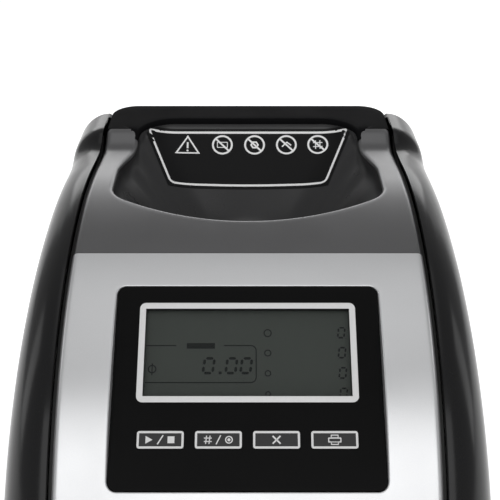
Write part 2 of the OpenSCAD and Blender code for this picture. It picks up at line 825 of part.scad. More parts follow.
module coin_disc() color(steel) {
    pocket_r = 13.4;
    pocket_place = 26.6;
    disc_play = 0.7;
    hub_r = 11.5;
    hub_top_r = 7;
    hub_h = disc_t + 6;
    translate([0, well_y, disc_z]) difference() {
        union() {
            cylinder(r = well_r - disc_play, h = disc_t);
            cylinder(r1 = hub_r, r2 = hub_top_r, h = hub_h);
        }
        for (k = [0:pocket_count - 1])
            rotate(k * 360 / pocket_count) translate([pocket_place, 0, -1])
                cylinder(r = pocket_r, h = hub_h + 2);
        translate([0, 0, -1]) cylinder(r = shaft_r, h = disc_t + 3);
    }
}

// The shaft, with a groove for a retaining ring near its lower end
module disc_shaft() color(steel) {
    below_gear = 3;
    groove_depth = 0.6;
    translate([0, well_y, gear_z - below_gear]) difference() {
        cylinder(r = shaft_r, h = disc_z + disc_t + 2 - gear_z + below_gear);
        translate([0, 0, 1]) rotate_extrude() translate([shaft_r - groove_depth, 0]) square([2, 1]);
    }
}

module disc_bearing() color([0.75, 0.6, 0.3]) {
    flange_t = 2;
    flange_w = 3;
    bush_below = 6;
    translate([0, well_y, plate_top_z - plate_t]) difference() {
        union() {
            translate([0, 0, -bush_below]) cylinder(r = bush_r, h = plate_t + bush_below);
            translate([0, 0, -flange_t]) cylinder(r = bush_r + flange_w, h = flange_t);
        }
        cylinder(r = shaft_r + shaft_play, h = far, center = true);
    }
}

module disc_plate() color(steel) {
    front = -17;
    rear = 81;
    half = cover_half - 0.2;
    lip_t = 2;
    lip_z = plate_screw_z - 7;
    difference() {
        union() {
            translate([-half, front, plate_top_z - plate_t]) cube([2 * half, rear - front, plate_t]);
            for (x = [-half, half - lip_t])
                translate([x, front, lip_z]) cube([lip_t, rear - front, plate_top_z - lip_z]);
        }
        translate([0, well_y, plate_top_z]) cylinder(r = bush_r, h = 60, center = true);
        for (p = STANDOFFS)
            translate([p[0], p[1], plate_top_z]) cylinder(r = screw_r, h = 30, center = true);
        for (y = PLATE_SCREWS)
            translate([0, y, plate_screw_z]) rotate([0, 90, 0])
                cylinder(r = screw_hole_r, h = far, center = true);
    }
}

// Involute gear outline; thin takes the backlash off each flank
function involute(rb, t) = rb * [cos(t) + t * PI / 180 * sin(t), sin(t) - t * PI / 180 * cos(t)];
function roll_angle(rb, r) = r <= rb ? 0 : sqrt(pow(r / rb, 2) - 1) * 180 / PI;
function turned(p, a) = [p[0] * cos(a) - p[1] * sin(a), p[0] * sin(a) + p[1] * cos(a)];
module gear_outline(teeth) {
    pressure = 20;
    steps = 4;
    thin = 0.12;
    pitch_r = gear_module * teeth / 2;
    base_r = pitch_r * cos(pressure);
    tip_r = pitch_r + 0.92 * gear_module;
    root_r = pitch_r - 1.25 * gear_module;
    at_pitch = involute(base_r, roll_angle(base_r, pitch_r));
    half_tooth = 90 / teeth - thin / pitch_r * 180 / PI;
    lead = half_tooth + atan2(at_pitch[1], at_pitch[0]);
    flank = concat([turned([root_r, 0], -lead)], [for (i = [0:steps])
        turned(involute(base_r, roll_angle(base_r, max(base_r, root_r)
            + (tip_r - max(base_r, root_r)) * i / steps)), -lead)]);
    tooth = concat(flank, [for (i = [len(flank) - 1:-1:0]) [flank[i][0], -flank[i][1]]]);
    polygon([for (k = [0:teeth - 1], p = tooth) turned(p, k * 360 / teeth)]);
}

module disc_gear() color(off_white) {
    translate([0, well_y, gear_z]) difference() {
        union() {
            linear_extrude(gear_h) gear_outline(disc_teeth);
            cylinder(r = 8, h = gear_h + 2);
        }
        translate([0, 0, -1]) cylinder(r = shaft_r, h = gear_h + 4);
    }
}

module motor_pinion() color(off_white) {
    translate([gear_distance, well_y, 0]) {
        translate([0, 0, gear_z]) rotate(180 / pinion_teeth) linear_extrude(gear_h)
            gear_outline(pinion_teeth);
        translate([0, 0, bracket_z - motor_shaft_depth])
            cylinder(r = motor_shaft_r, h = gear_z + gear_h + 1 - bracket_z + motor_shaft_depth);
    }
}

module gear_motor() color(steel) {
    can_r = 15;
    can_h = 32;
    box_r = 17;
    box_h = 18;
    can_z = -box_h - can_h;
    terminal = [3, 1, 6];
    translate([gear_distance, well_y, bracket_z]) difference() {
        union() {
            translate([0, 0, can_z]) cylinder(r = can_r, h = can_h);
            translate([0, 0, -box_h]) cylinder(r = box_r, h = box_h);
            cylinder(r = motor_boss_r, h = bracket_t + 2);
            for (x = [-6, 6])
                translate([x - terminal[0] / 2, -terminal[1] / 2, can_z - 5]) cube(terminal);
        }
        translate([0, 0, -motor_shaft_depth - 0.5]) cylinder(r = motor_shaft_r + shaft_play, h = 30);
    }
}

module motor_bracket() color(steel) {
    corner = [8, -4];
    size = [46, 74];
    difference() {
        union() {
            translate([corner[0], corner[1], bracket_z]) cube([size[0], size[1], bracket_t]);
            for (p = STANDOFFS)
                translate([p[0], p[1], bracket_z + bracket_t])
                    cylinder(r = post_r, h = plate_top_z - plate_t - bracket_z - bracket_t);
        }
        translate([gear_distance, well_y, bracket_z - 1]) cylinder(r = motor_boss_r + 0.1, h = bracket_t + 2);
        for (p = STANDOFFS)
            translate([p[0], p[1], bracket_z - 1]) cylinder(r = screw_hole_r, h = 40);
    }
}

// ---- Coin path under the hopper ----
rail_slope = 6;
rail_y = -109;
rail_z = 148;
rail_left = 83;
rail_right = 70;
rail_w = 31;
rail_t = 2;
SLOT_W = [18.4, 19.6, 21.8, 24.8];
function column_x(k) = (k - 1.5) * tube_pitch;

module on_rail() {
    translate([0, rail_y, rail_z]) rotate([0, rail_slope, 0]) children();
}

module sorting_rail() color(steel) {
    guide_h = 6;
    on_rail() difference() {
        union() {
            translate([-rail_left, -rail_w / 2, 0]) cube([rail_left + rail_right, rail_w, rail_t]);
            for (y = [-rail_w / 2, rail_w / 2 - rail_t])
                translate([-rail_left, y, 0]) cube([rail_left + rail_right, rail_t, guide_h]);
            for (x = [-rail_left, rail_right - rail_t])
                translate([x, -rail_w / 2, 0]) cube([rail_t, rail_w, guide_h]);
        }
        for (k = [0:3])
            translate([column_x(k) / cos(rail_slope) - SLOT_W[k] / 2 - 1,
                rail_w / 2 - rail_t - SLOT_W[k], -1])
                cube([SLOT_W[k] + 2, SLOT_W[k], rail_t + 2]);
    }
}

module coin_sensors() color(soft_black) {
    size = [10, 5, 11];
    on_rail()
        for (k = [0:3])
            translate([column_x(k) - size[0] / 2, rail_w / 2 + 0.2, 0]) cube(size);
}

// A channel from the well's outlet down to the high end of the rail
feed_turn = 28;
feed_length = 84;
module feed_chute() color(steel) {
    half = 12.6;
    channel_t = 1;
    side_h = 7;
    floor_z = plate_top_z - plate_t - side_h - 0.5;
    start = [0, floor_z];
    end = [-feed_length, rail_z + 16];
    translate([outlet_x, -18, 0]) rotate([0, 0, -feed_turn]) difference() {
        across(-half - channel_t, half + channel_t)
            polygon([start, start + [0, side_h], end + [0, side_h], end]);
        across(-half, half)
            polygon([start + [1, channel_t], start + [1, side_h + 1], end + [-1, side_h + 1],
                end + [-1, channel_t]]);
    }
}

chute_bottom_z = 116;
module chute_block() color(soft_black) {
    outer_half = 15.8;
    inner_half = 14.2;
    difference() {
        intersection() {
            translate([-2 * tube_pitch, rail_y - outer_half, chute_bottom_z])
                cube([4 * tube_pitch, 2 * outer_half, far]);
            on_rail() translate([-far, -far, -far]) cube([2 * far, 2 * far, far - 0.2]);
        }
        for (k = [0:3])
            translate([column_x(k) - inner_half, rail_y - inner_half, 0])
                cube([2 * inner_half, 2 * inner_half, 2 * far]);
    }
}

// ---- Tray, runners and tubes ----
tray_half = 72;
tray_z = 14;
tray_floor = 2.5;
tray_front_y = front_y + 1;
tray_front_t = 3;
tray_rear_y = 8;
tray_deck_z = 38;
tray_side_t = 2;
front_panel_half = 83.4;
front_panel_top = 135;
lip_z = 24;
lip_t = 2;
lip_w = 4;
tube_play = 0.25;
tube_z = tray_z + tray_floor;
grip_half = 32;
grip_h = 15;

function tube_r(k) = tube_bores[k] / 2 + tube_wall;
function row_y(r) = rail_y + r * tube_pitch;

module coin_tray() color(soft_black) {
    front_in = tray_front_y + tray_front_t;
    depth = tray_rear_y - front_in;
    difference() {
        union() {
            translate([-tray_half, front_in - 0.5, tray_z]) difference() {
                cube([2 * tray_half, depth + 0.5, tray_deck_z + tray_floor - tray_z]);
                translate([tray_side_t, tray_side_t, tray_floor])
                    cube([2 * (tray_half - tray_side_t), depth - 2 * tray_side_t,
                        tray_deck_z - tray_z - tray_floor]);
            }
            for (side = [-tray_half - lip_w, tray_half])
                translate([side, front_in + 4, lip_z]) cube([lip_w, depth - 4, lip_t]);
            translate([-front_panel_half, tray_front_y, pan_top + 1])
                cube([2 * front_panel_half, tray_front_t, front_panel_top - pan_top - 1]);
        }
        for (k = [0:3], r = [0:3])
            translate([column_x(k), row_y(r), tray_deck_z - 5]) cylinder(r = tube_r(k) + tube_play, h = 20);
        translate([-grip_half, tray_front_y - 1, front_panel_top - grip_h])
            cube([2 * grip_half, tray_front_t + 2, grip_h + 1]);
    }
}

module tray_runner() {
    play = 0.4;
    inner = tray_half + lip_w + 0.5;
    back = tray_rear_y + 6;
    front = front_y + 10;
    translate([0, front, 0]) {
        translate([inner, 0, pan_top]) cube([2, back - front, lip_z + lip_t + play + 2 - pan_top]);
        translate([inner, 0, pan_top]) cube([6, back - front, 2]);
        translate([tray_half + 1, 0, lip_z - play - 2.5]) cube([lip_w, back - front, 2.5]);
        translate([tray_half + 1, 0, lip_z + lip_t + play]) cube([lip_w, back - front, 2]);
    }
}

module tray_runner_right() color(steel) tray_runner();
module tray_runner_left() color(steel) mirror([1, 0, 0]) tray_runner();

module tube(k, r) color(clear) {
    floor_t = 1.5;
    translate([column_x(k), row_y(r), tube_z]) difference() {
        cylinder(r = tube_r(k), h = tube_h);
        translate([0, 0, floor_t]) cylinder(r = tube_bores[k] / 2, h = tube_h);
    }
}

// ---- Screws, all of one size ----
module screws() color(steel) {
    for (x = [-frame_foot_x, frame_foot_x], y = FRAME_SCREWS)
        translate([x, y, pan_z]) screw(8);
    for (side = [0, 1], y = PLATE_SCREWS)
        mirror([side, 0, 0]) translate([frame_x1, y, plate_screw_z]) rotate([0, -90, 0]) screw(6);
    for (p = STANDOFFS)
        translate([p[0], p[1], bracket_z]) screw(8);
    for (p = concat(MAIN_POSTS, SUPPLY_POSTS))
        translate([p[0], p[1], board_z + board_t]) rotate([180, 0, 0]) screw(6);
    on_panel() for (p = LCD_POSTS)
        translate([p[0], p[1], lcd_board_z]) screw(6);
    on_panel() for (p = KEYPAD_POSTS)
        translate([p[0], p[1], keypad_z]) screw(6);
}

base_pan();
rubber_feet();
side_frame_left();
side_frame_right();
side_panel_left();
side_panel_right();
front_shell();
top_cover();
hopper_bowl();
hopper_label();
rear_cover();
control_panel();
display_bezel();
display_window();
lcd_module();
keypad_board();
key_run();
key_mode();
key_clear();
key_print();
main_board();
board_chips();
power_supply();
power_inlet();
switch_body();
switch_rocker();
printer_port();
coin_disc();
disc_shaft();
disc_bearing();
disc_plate();
disc_gear();
gear_motor();
motor_pinion();
motor_bracket();
feed_chute();
sorting_rail();
coin_sensors();
chute_block();
coin_tray();
tray_runner_left();
tray_runner_right();
ribbon_cable();
screws();
for (k = [0:3], r = [0:3])
    tube(k, r);
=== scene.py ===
import json
import math

import bmesh
import bpy
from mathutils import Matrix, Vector
from mathutils.bvhtree import BVHTree


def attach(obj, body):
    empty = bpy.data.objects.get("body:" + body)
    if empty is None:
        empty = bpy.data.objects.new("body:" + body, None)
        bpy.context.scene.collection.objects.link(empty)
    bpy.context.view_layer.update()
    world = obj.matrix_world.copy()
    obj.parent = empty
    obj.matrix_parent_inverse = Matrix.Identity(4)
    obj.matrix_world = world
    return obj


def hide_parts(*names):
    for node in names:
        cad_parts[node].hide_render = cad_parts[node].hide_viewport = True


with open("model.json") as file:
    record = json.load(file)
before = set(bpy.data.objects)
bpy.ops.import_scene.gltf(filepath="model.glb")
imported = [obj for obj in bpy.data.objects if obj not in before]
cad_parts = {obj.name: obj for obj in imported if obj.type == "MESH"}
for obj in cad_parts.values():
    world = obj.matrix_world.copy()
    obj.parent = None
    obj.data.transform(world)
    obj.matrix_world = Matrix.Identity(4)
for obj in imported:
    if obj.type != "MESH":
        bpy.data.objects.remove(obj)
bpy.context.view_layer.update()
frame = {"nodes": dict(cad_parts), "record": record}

# The coin sorting machine's visible surfaces, materials, lights and camera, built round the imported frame.
# Points are in millimetres in the frame's axes until they become a mesh: X right, Y back, Z up.
MM = 0.001

# ---- Sizes that the covers share with the frame ----
FRONT_Y = -137.0
REAR_Y = 137.0
SHOULDER_Z = 116.0
FRONT_R = 182.5
# Bends of the skin's side view after its vertical start, as (radius, slope at the end)
BENDS = ((FRONT_R, 22.25), (244.0, 1.7), (250.0, 6.0), (22.0, 43.0), (13.0, 6.5))
SEAM_SLOPE = BENDS[0][1]
RIM_SLOPE = math.radians(BENDS[-1][1])
WALL = 2.5
COVER_HALF = 84.0
COVER_TAPER = 2.0
TAPER_FROM, TAPER_TO = 20.0, 100.0
REVEAL = 2.0
SKIRT_T = 2.0
SKIRT_H = 6.0
EDGE_R = 3.0
# A side edge has this many steps in its rounding and this many points after it
EDGE_STEPS, EDGE_TAIL = 8, 4
INSIDE_BREAK = 0.6
RIM_CORNER_R = 15.0
SILVER_BOTTOM_Z = 138.0
SEAM_GAP = 0.15

# ---- Slanted frame of the control panel ----
PANEL_SLOPE = math.radians((28.9 + 58.7) / 2)
PANEL_SPREAD = math.radians((58.7 - 28.9) / 2)
PANEL_W = 120.0
PANEL_H = 2 * FRONT_R * math.sin(PANEL_SPREAD)
PANEL_DEPTH = FRONT_R * math.cos(PANEL_SPREAD)
PANEL_R = 4.0
FIT_GAP = 0.3
KEYS_Y = -25.0
KEY_PITCH = 25.3


# ---- Shapes in two dimensions ----
def arc(cx, cy, r, start, end, steps):
    """Points on an arc, with both ends; angles in degrees."""
    out = []
    for i in range(steps + 1):
        a = math.radians(start + (end - start) * i / steps)
        out.append((cx + r * math.cos(a), cy + r * math.sin(a)))
    return out


def line(a, b, steps):
    """Points on a straight line, with both ends."""
    return [(a[0] + (b[0] - a[0]) * i / steps, a[1] + (b[1] - a[1]) * i / steps) for i in range(steps + 1)]


def rounded_side(half_w, half_h, r, turn, corner_steps, side_steps):
    """One side of a rounded rectangle from the middle of one corner to the middle of the next.
    The side faces +X and is then turned by a number of quarter turns; its last point is left out."""
    w, h = (half_w, half_h) if turn % 2 == 0 else (half_h, half_w)
    pts = arc(w - r, -h + r, r, -45, 0, corner_steps)
    pts += line((w, -h + r), (w, h - r), side_steps)[1:-1]
    pts += arc(w - r, h - r, r, 0, 45, corner_steps)
    for _ in range(turn):
        pts = [(-y, x) for x, y in pts]
    return pts[:-1]


def rounded_rect(half_w, half_h, r, corner_steps=4, side_steps=12):
    """Outline of a rounded rectangle, anticlockwise from the middle of its lower right corner."""
    out = []
    for turn in range(4):
        out += rounded_side(half_w, half_h, r, turn, corner_steps, side_steps)
    return out


def smoothstep(t):
    """0 to 1 with level ends."""
    t = min(1.0, max(0.0, t))
    return t * t * (3 - 2 * t)


def lip_grows(r, steps):
    """Distances out from an edge at which its rounding has points, from r down to 0."""
    return [r * (1 - math.sin(math.pi / 2 * i / steps)) for i in range(steps + 1)]


def lip_fall(r, grow):
    """How far a surface with an edge rounding r has dropped at a distance out from that edge."""
    return r - math.sqrt(max(0.0, r ** 2 - (r - grow) ** 2))


def soft_outline(corners, soft, steps):
    """A polygon's outline whose corners are curves that start at a distance soft from the corner."""
    out = []
    count = len(corners)
    corner_steps = 6

    def cut(a, b):
        share = soft / math.dist(a, b)
        return a[0] + (b[0] - a[0]) * share, a[1] + (b[1] - a[1]) * share

    for i, corner in enumerate(corners):
        after = corners[(i + 1) % count]
        start, end = cut(corner, corners[i - 1]), cut(corner, after)
        for k in range(corner_steps + 1):
            t = k / corner_steps
            near, middle, far = (1 - t) ** 2, 2 * t * (1 - t), t * t
            out.append(tuple(near * start[n] + middle * corner[n] + far * end[n] for n in (0, 1)))
        out += line(end, cut(after, corner), steps)[1:-1]
    return out


# ---- Meshes ----
def loft(sections, closed):
    """Points and faces of a skin over closed sections of equal length; an open row of sections is capped."""
    count = len(sections[0])
    rows = len(sections)
    points = [p for section in sections for p in section]
    faces = []
    for i in range(rows if closed else rows - 1):
        a = i * count
        b = (i + 1) % rows * count
        for j in range(count):
            k = (j + 1) % count
            faces.append((a + j, a + k, b + k, b + j))
    if not closed:
        faces.append(tuple(range(count - 1, -1, -1)))
        faces.append(tuple((rows - 1) * count + j for j in range(count)))
    return points, faces


def merged(parts):
    """Several (points, faces) as one."""
    points, faces = [], []
    for more_points, more_faces in parts:
        base = len(points)
        points += more_points
        faces += [tuple(base + i for i in face) for face in more_faces]
    return points, faces


def piece(name, geometry, body, slot, replaces=None, sharp=35.0, finish=None, weld=True):
    """A piece made from (points, faces), with smooth shading between its sharp edges.
    Its finish has the slot's name unless it is given."""
    points, faces = geometry
    mesh = bpy.data.meshes.new(name)
    mesh.from_pydata([Vector(p) * MM for p in points], [], faces)
    bm = bmesh.new()
    bm.from_mesh(mesh)
    if weld:
        bmesh.ops.remove_doubles(bm, verts=bm.verts, dist=2e-7)
    bmesh.ops.recalc_face_normals(bm, faces=bm.faces)
    bm.to_mesh(mesh)
    bm.free()
    mesh.shade_smooth()
    mesh.set_sharp_from_angle(angle=math.radians(sharp))
    mesh.materials.append(MATERIALS[finish or slot])
    obj = bpy.data.objects.new(name, mesh)
    bpy.context.scene.collection.objects.link(obj)
    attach(obj, body)
    if replaces:
        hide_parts(replaces)
    return obj


def thin_shell(grid, closed, place, low, high):
    """A layer over a grid of (x, y) points between two heights above the surface that place() follows."""
    sections = []
    for row in grid:
        section = [place(x, y, high) for x, y in row]
        section += [place(x, y, low) for x, y in reversed(row)]
        sections.append(section)
    return loft(sections, closed)


def drawing(name, shapes, place, low, high, body, slot, finish=None):
    """One piece for a set of flat shapes, each a (grid, closed) pair."""
    parts = [thin_shell(grid, closed, place, low, high) for grid, closed in shapes]
    piece(name, merged(parts), body, slot, finish=finish, weld=False)


def ring_shape(cx, cy, r, width, steps=28):
    """A ring whose outer radius is r."""
    inner = arc(cx, cy, r - width, 0, 360, steps)[:-1]
    outer = arc(cx, cy, r, 0, 360, steps)[:-1]
    return [list(pair) for pair in zip(inner, outer)], True


def bar_shape(x0, y0, x1, y1, width, steps=4, pointed=0.0):
    """A stroke; pointed draws its ends in to a point over that length."""
    length = math.hypot(x1 - x0, y1 - y0)
    ux, uy = (x1 - x0) / length, (y1 - y0) / length
    stops = [(i / steps, 1.0) for i in range(steps + 1)]
    if pointed:
        share = pointed / length
        stops = [(0.0, 0.1), (share, 1.0), (1 - share, 1.0), (1.0, 0.1)]
    grid = []
    for t, fill in stops:
        px, py = x0 + (x1 - x0) * t, y0 + (y1 - y0) * t
        half = width / 2 * fill
        grid.append([(px - uy * half, py + ux * half), (px + uy * half, py - ux * half)])
    return grid, False


def polygon_ring(points, cx, cy, keep, steps=6):
    """The band between a polygon and its copy shrunk towards (cx, cy)."""
    grid = []
    for i, a in enumerate(points):
        for x, y in line(a, points[(i + 1) % len(points)], steps)[:-1]:
            grid.append([(cx + (x - cx) * keep, cy + (y - cy) * keep), (x, y)])
    return grid, True


def frame_shape(cx, cy, half_w, half_h, r, width):
    """A rounded frame whose outer sizes are given."""
    outer = rounded_rect(half_w, half_h, r, 3, 8)
    inner = rounded_rect(half_w - width, half_h - width, max(r - width, 0.05), 3, 8)
    grid = []
    for (xi, yi), (xo, yo) in zip(inner, outer):
        grid.append([(cx + xi, cy + yi), (cx + xo, cy + yo)])
    return grid, True


def block_shape(x0, y0, x1, y1, steps=2):
    """A filled rectangle between two corners."""
    return bar_shape(x0, (y0 + y1) / 2, x1, (y0 + y1) / 2, y1 - y0, steps)


# ---- Side view of the skin ----
def bend_end(p, r, a, b):
    """End of an arc of radius r that starts at p with slope a and ends with slope b, in degrees."""
    sign = 1 if b > a else -1
    a, b = math.radians(a), math.radians(b)
    return p[0] + r * sign * (math.sin(b) - math.sin(a)), p[1] + r * sign * (math.cos(a) - math.cos(b))


def skin_path(step):
    """Points (y, z, slope) of the skin from the shoulder to the rim, about step mm apart."""
    p, slope = (FRONT_Y, SHOULDER_Z), 90.0
    out = [(p[0], p[1], slope)]
    for r, end in BENDS:
        count = max(3, math.ceil(r * math.radians(abs(end - slope)) / step))
        for i in range(1, count + 1):
            h = slope + (end - slope) * i / count
            q = bend_end(p, r, slope, h)
            out.append((q[0], q[1], h))
        p, slope = bend_end(p, r, slope, end), end
    return out


SKIN = skin_path(1.0)
SKIN_END = SKIN[-1]
SEAM_Y = bend_end((FRONT_Y, SHOULDER_Z), FRONT_R, 90.0, SEAM_SLOPE)[0]


def skin_at(y):
    """Height and slope of the skin at y, and along the rim's plane beyond its end."""
    if y >= SKIN_END[0]:
        return SKIN_END[1] + (y - SKIN_END[0]) * math.tan(RIM_SLOPE), SKIN_END[2]
    low, high = 0, len(SKIN) - 1
    while high - low > 1:
        middle = (low + high) // 2
        if SKIN[middle][0] > y:
            high = middle
        else:
            low = middle
    a, b = SKIN[low], SKIN[high]
    t = (y - a[0]) / max(b[0] - a[0], 1e-9)
    return a[1] + (b[1] - a[1]) * t, a[2] + (b[2] - a[2]) * t


def taper(y):
    """How far the covers' sides have drawn in at y."""
    return COVER_TAPER * min(1.0, max(0.0, (y - TAPER_FROM) / (TAPER_TO - TAPER_FROM)))


# ---- Side panels ----
BODY_HALF = 112.0
LEAN_FROM, LEAN_R = 104.0, 1937.0
SHRINK, SHRINK_Z = 0.145, 184.0
PANEL_BOTTOM_Z = 6.0
PANEL_TOP_Y = 122.0
PANEL_TOP_Z = skin_at(PANEL_TOP_Y)[0]
PANEL_REAR_R = 10.0
SIDE_WALL = 3.0
SKIN_SHRINK = 0.015
TOP_STRIP = 0.2
RINGS = 26
GAP_CORNER_Y = REAR_Y - RIM_CORNER_R


def panel_gap_x(y):
    """The panel's inner edge: beside the covers, then round the rim's rear corner."""
    if y > GAP_CORNER_Y:
        reach = math.sqrt((RIM_CORNER_R + REVEAL) ** 2 - (y - GAP_CORNER_Y) ** 2)
        return COVER_HALF - COVER_TAPER - RIM_CORNER_R + reach
    return COVER_HALF + REVEAL - taper(y)


def ring_share(angle, inside):
    """Share of its distance from the rear top edge that a point keeps, at a ring angle."""
    return 1 - SHRINK * (1 - math.cos(angle)) - SKIN_SHRINK * inside


def ring_point(edge_y, base_z, y, angle, inside):
    """A point at a ring angle, from the panel's inner edge at 0 to its outer wall at a quarter turn."""
    z = base_z
    if z > SHRINK_Z:
        z = SHRINK_Z + (z - SHRINK_Z) * ring_share(angle, inside)
    edge = panel_gap_x(edge_y)
    wall_x = BODY_HALF - max(0.0, z - LEAN_FROM) ** 2 / (2 * LEAN_R)
    return edge + (wall_x - SIDE_WALL * inside - edge) * math.sin(angle), y, z


def front_point(base_y, base_z, angle, inside):
    """One point of the side panel's front rounding, for its base point; inside is 0 outside or 1 inside."""
    y = PANEL_TOP_Y + (base_y - PANEL_TOP_Y) * ring_share(angle, inside)
    return ring_point(base_y, base_z, y, angle, inside)


def rear_point(base_z, angle, inside):
    """One point of the side panel's rear rounding, for its base height."""
    above = max(0.0, base_z - (PANEL_TOP_Z - PANEL_REAR_R))
    share = math.sqrt(max(0.0, 1 - (above / PANEL_REAR_R) ** 2))
    start = PANEL_TOP_Y + TOP_STRIP
    y = start + (PANEL_REAR_R - SIDE_WALL * inside) * share * math.cos(angle)
    return ring_point(start + PANEL_REAR_R * share, base_z, y, angle, inside)


def side_row(y, z, inside):
    """Front rings outwards, the flat side, then rear rings inwards, at one height."""
    angles = [math.pi / 2 * j / RINGS for j in range(RINGS + 1)]
    front = [front_point(y, z, a, inside) for a in angles]
    rear = [rear_point(z, a, inside) for a in reversed(angles)]
    a, b = front[-1], rear[0]
    flat_steps = 12
    flat = [tuple(a[k] + (b[k] - a[k]) * i / flat_steps for k in range(3)) for i in range(1, flat_steps)]
    return front + flat + rear


def side_panel(name, side):
    """A side panel as rows from its foot to its top; side is 1 for the right one and -1 for the left one."""
    foot_steps = 16
    foot_h = SHOULDER_Z - PANEL_BOTTOM_Z
    bases = [(FRONT_Y, PANEL_BOTTOM_Z + foot_h * i / foot_steps) for i in range(foot_steps)]
    bases += [(y, z) for y, z, _ in skin_path(3.0)]
    bases += line(SKIN_END[:2], (PANEL_TOP_Y, PANEL_TOP_Z), 14)[1:]
    rows = []
    for y, z in bases:
        rows.append(side_row(y, z, 0) + side_row(y, z, 1)[::-1])
    points, faces = loft(rows, False)
    count = len(rows[0])
    half = count // 2
    top = (len(rows) - 1) * count
    # The ends of the row of sections are strips, not caps: one over the top and one round the open foot
    faces = faces[:-2]
    faces.append((top, top + half - 1, top + half, top + count - 1))
    for a in range(half // 2):
        b = half - 1 - a
        ring = (a, a + 1, b - 1, b) if b - a > 2 else (a, a + 1, b)
        faces.append(tuple(top + j for j in ring))
        faces.append(tuple(top + count - 1 - j for j in reversed(ring)))
    for j in range(half - 1):
        faces.append((j + 1, j, count - 1 - j, count - 2 - j))
    points = [(side * x, y, z) for x, y, z in points]
    piece(name, (points, faces), "body", "side_gloss", "side_panel_" + ("right" if side > 0 else "left"),
          sharp=50.0)


# ---- Slanted frame ----
PANEL_ORIGIN = (0.0, FRONT_Y + FRONT_R - PANEL_DEPTH * math.sin(PANEL_SLOPE),
                SHOULDER_Z + PANEL_DEPTH * math.cos(PANEL_SLOPE))


def on_panel(x, y, z):
    """A point of the control panel's frame in the row frame."""
    c, s = math.cos(PANEL_SLOPE), math.sin(PANEL_SLOPE)
    return x, PANEL_ORIGIN[1] + y * c - z * s, PANEL_ORIGIN[2] + y * s + z * c


# ---- Silver front ----
def silver_point(x, psi, depth):
    """A point under the curved front, at x, at an angle from the panel's middle, and at a depth."""
    r = FRONT_R - depth
    return on_panel(x, r * math.sin(psi), r * math.cos(psi) - PANEL_DEPTH)


def side_edge(sign, edge, skirt):
    """The rounded side edge from the flat skin down the skirt and up its inside, as (x, depth)."""
    out = []
    for i in range(EDGE_STEPS + 1):
        a = math.pi / 2 * i / EDGE_STEPS
        out.append((sign * (edge - EDGE_R + EDGE_R * math.sin(a)), EDGE_R * (1 - math.cos(a))))
    out.append((sign * edge, skirt))
    out.append((sign * (edge - SKIRT_T), skirt))
    out.append((sign * (edge - SKIRT_T), WALL + INSIDE_BREAK))
    out.append((sign * (edge - SKIRT_T - INSIDE_BREAK), WALL))
    return out


def front_shell():
    """The silver front: rings from the panel's opening out to its edges, over the sides and back inside."""
    psi_low = PANEL_SLOPE - math.acos((SILVER_BOTTOM_Z - SHOULDER_Z) / FRONT_R)
    psi_high = PANEL_SLOPE - math.radians(SEAM_SLOPE) - SEAM_GAP / FRONT_R
    inner_x = COVER_HALF - EDGE_R
    half_w, half_h, r = PANEL_W / 2 + FIT_GAP, PANEL_H / 2 + FIT_GAP, PANEL_R + FIT_GAP
    lip = 0.9
    corner_steps, side_steps = 6, 44
    across = 16
    floor_z = -3.6
    grown = 1.6
    sections = []
    count = 2 * corner_steps + side_steps
    for turn in range(4):
        on_side = turn % 2 == 0
        outline = {}
        for grow in lip_grows(lip, 4):
            outline[grow] = rounded_side(half_w + grow, half_h + grow, r + grow, turn,
                                         corner_steps, side_steps)
        start = ((inner_x, psi_low), (inner_x, psi_high), (-inner_x, psi_high), (-inner_x, psi_low))[turn]
        end = ((inner_x, psi_high), (-inner_x, psi_high), (-inner_x, psi_low), (inner_x, psi_low))[turn]
        for k in range(count):
            t = k / count
            bx, bpsi = start[0] + (end[0] - start[0]) * t, start[1] + (end[1] - start[1]) * t
            grows = sorted(outline)
            section = [on_panel(*outline[grows[0]][k], floor_z)]
            for grow in grows:
                x, y = outline[grow][k]
                fall = lip_fall(lip, grow)
                psi = math.asin(y / FRONT_R)
                section.append(on_panel(x, y, FRONT_R * math.cos(psi) - PANEL_DEPTH - fall))
            x0, y0 = outline[grows[-1]][k]
            psi0 = math.asin(y0 / FRONT_R)
            for i in range(1, across + 1):
                f = i / across
                section.append(silver_point(x0 + (bx - x0) * f, psi0 + (bpsi - psi0) * f, 0.0))
            corner = k == 0
            if on_side or corner:
                sign = 1 if bx > 0 else -1
                for x, depth in side_edge(sign, COVER_HALF, SKIRT_H)[1:]:
                    section.append(silver_point(x, bpsi, depth))
            else:
                section += [silver_point(bx, bpsi, 0.0)] * EDGE_STEPS
                section += [silver_point(bx, bpsi, WALL)] * EDGE_TAIL
            xi, yi = outline[grows[0]][k]
            psi_i = math.asin(yi / FRONT_R)
            for i in (1, 2):
                f = 1 - i / 3
                section.append(silver_point(xi + (bx - xi) * f, psi_i + (bpsi - psi_i) * f, WALL))
            section.append(silver_point(xi * (1 + grown / half_w), psi_i * (1 + grown / half_h), WALL))
            section.append(on_panel(xi * (1 + grown / half_w), yi * (1 + grown / half_h), floor_z))
            sections.append(section)
    piece("silver_front", loft(sections, True), "body", "silver_paint", "front_shell", sharp=40.0)


# ---- Top cover ----
MOUTH_HALF = 67.0
MOUTH_FRONT_Y, MOUTH_REAR_Y = 0.5, 113.5
MOUTH_FRONT_R = 106.0
MOUTH_CORNER_R = 22.0
MOUTH_SOFT_R = 16.0
ARM_END_Y = 98.5
ARM_CORNER_R = 5.0
# Half widths of the mouth between the arms' ends and where it is widest, and where it starts to draw in
MOUTH_REAR_HALF, MOUTH_WIDE_HALF = 63.5, 70.5
FLARE_Y, FLARE_LENGTH = 55.0, 37.0


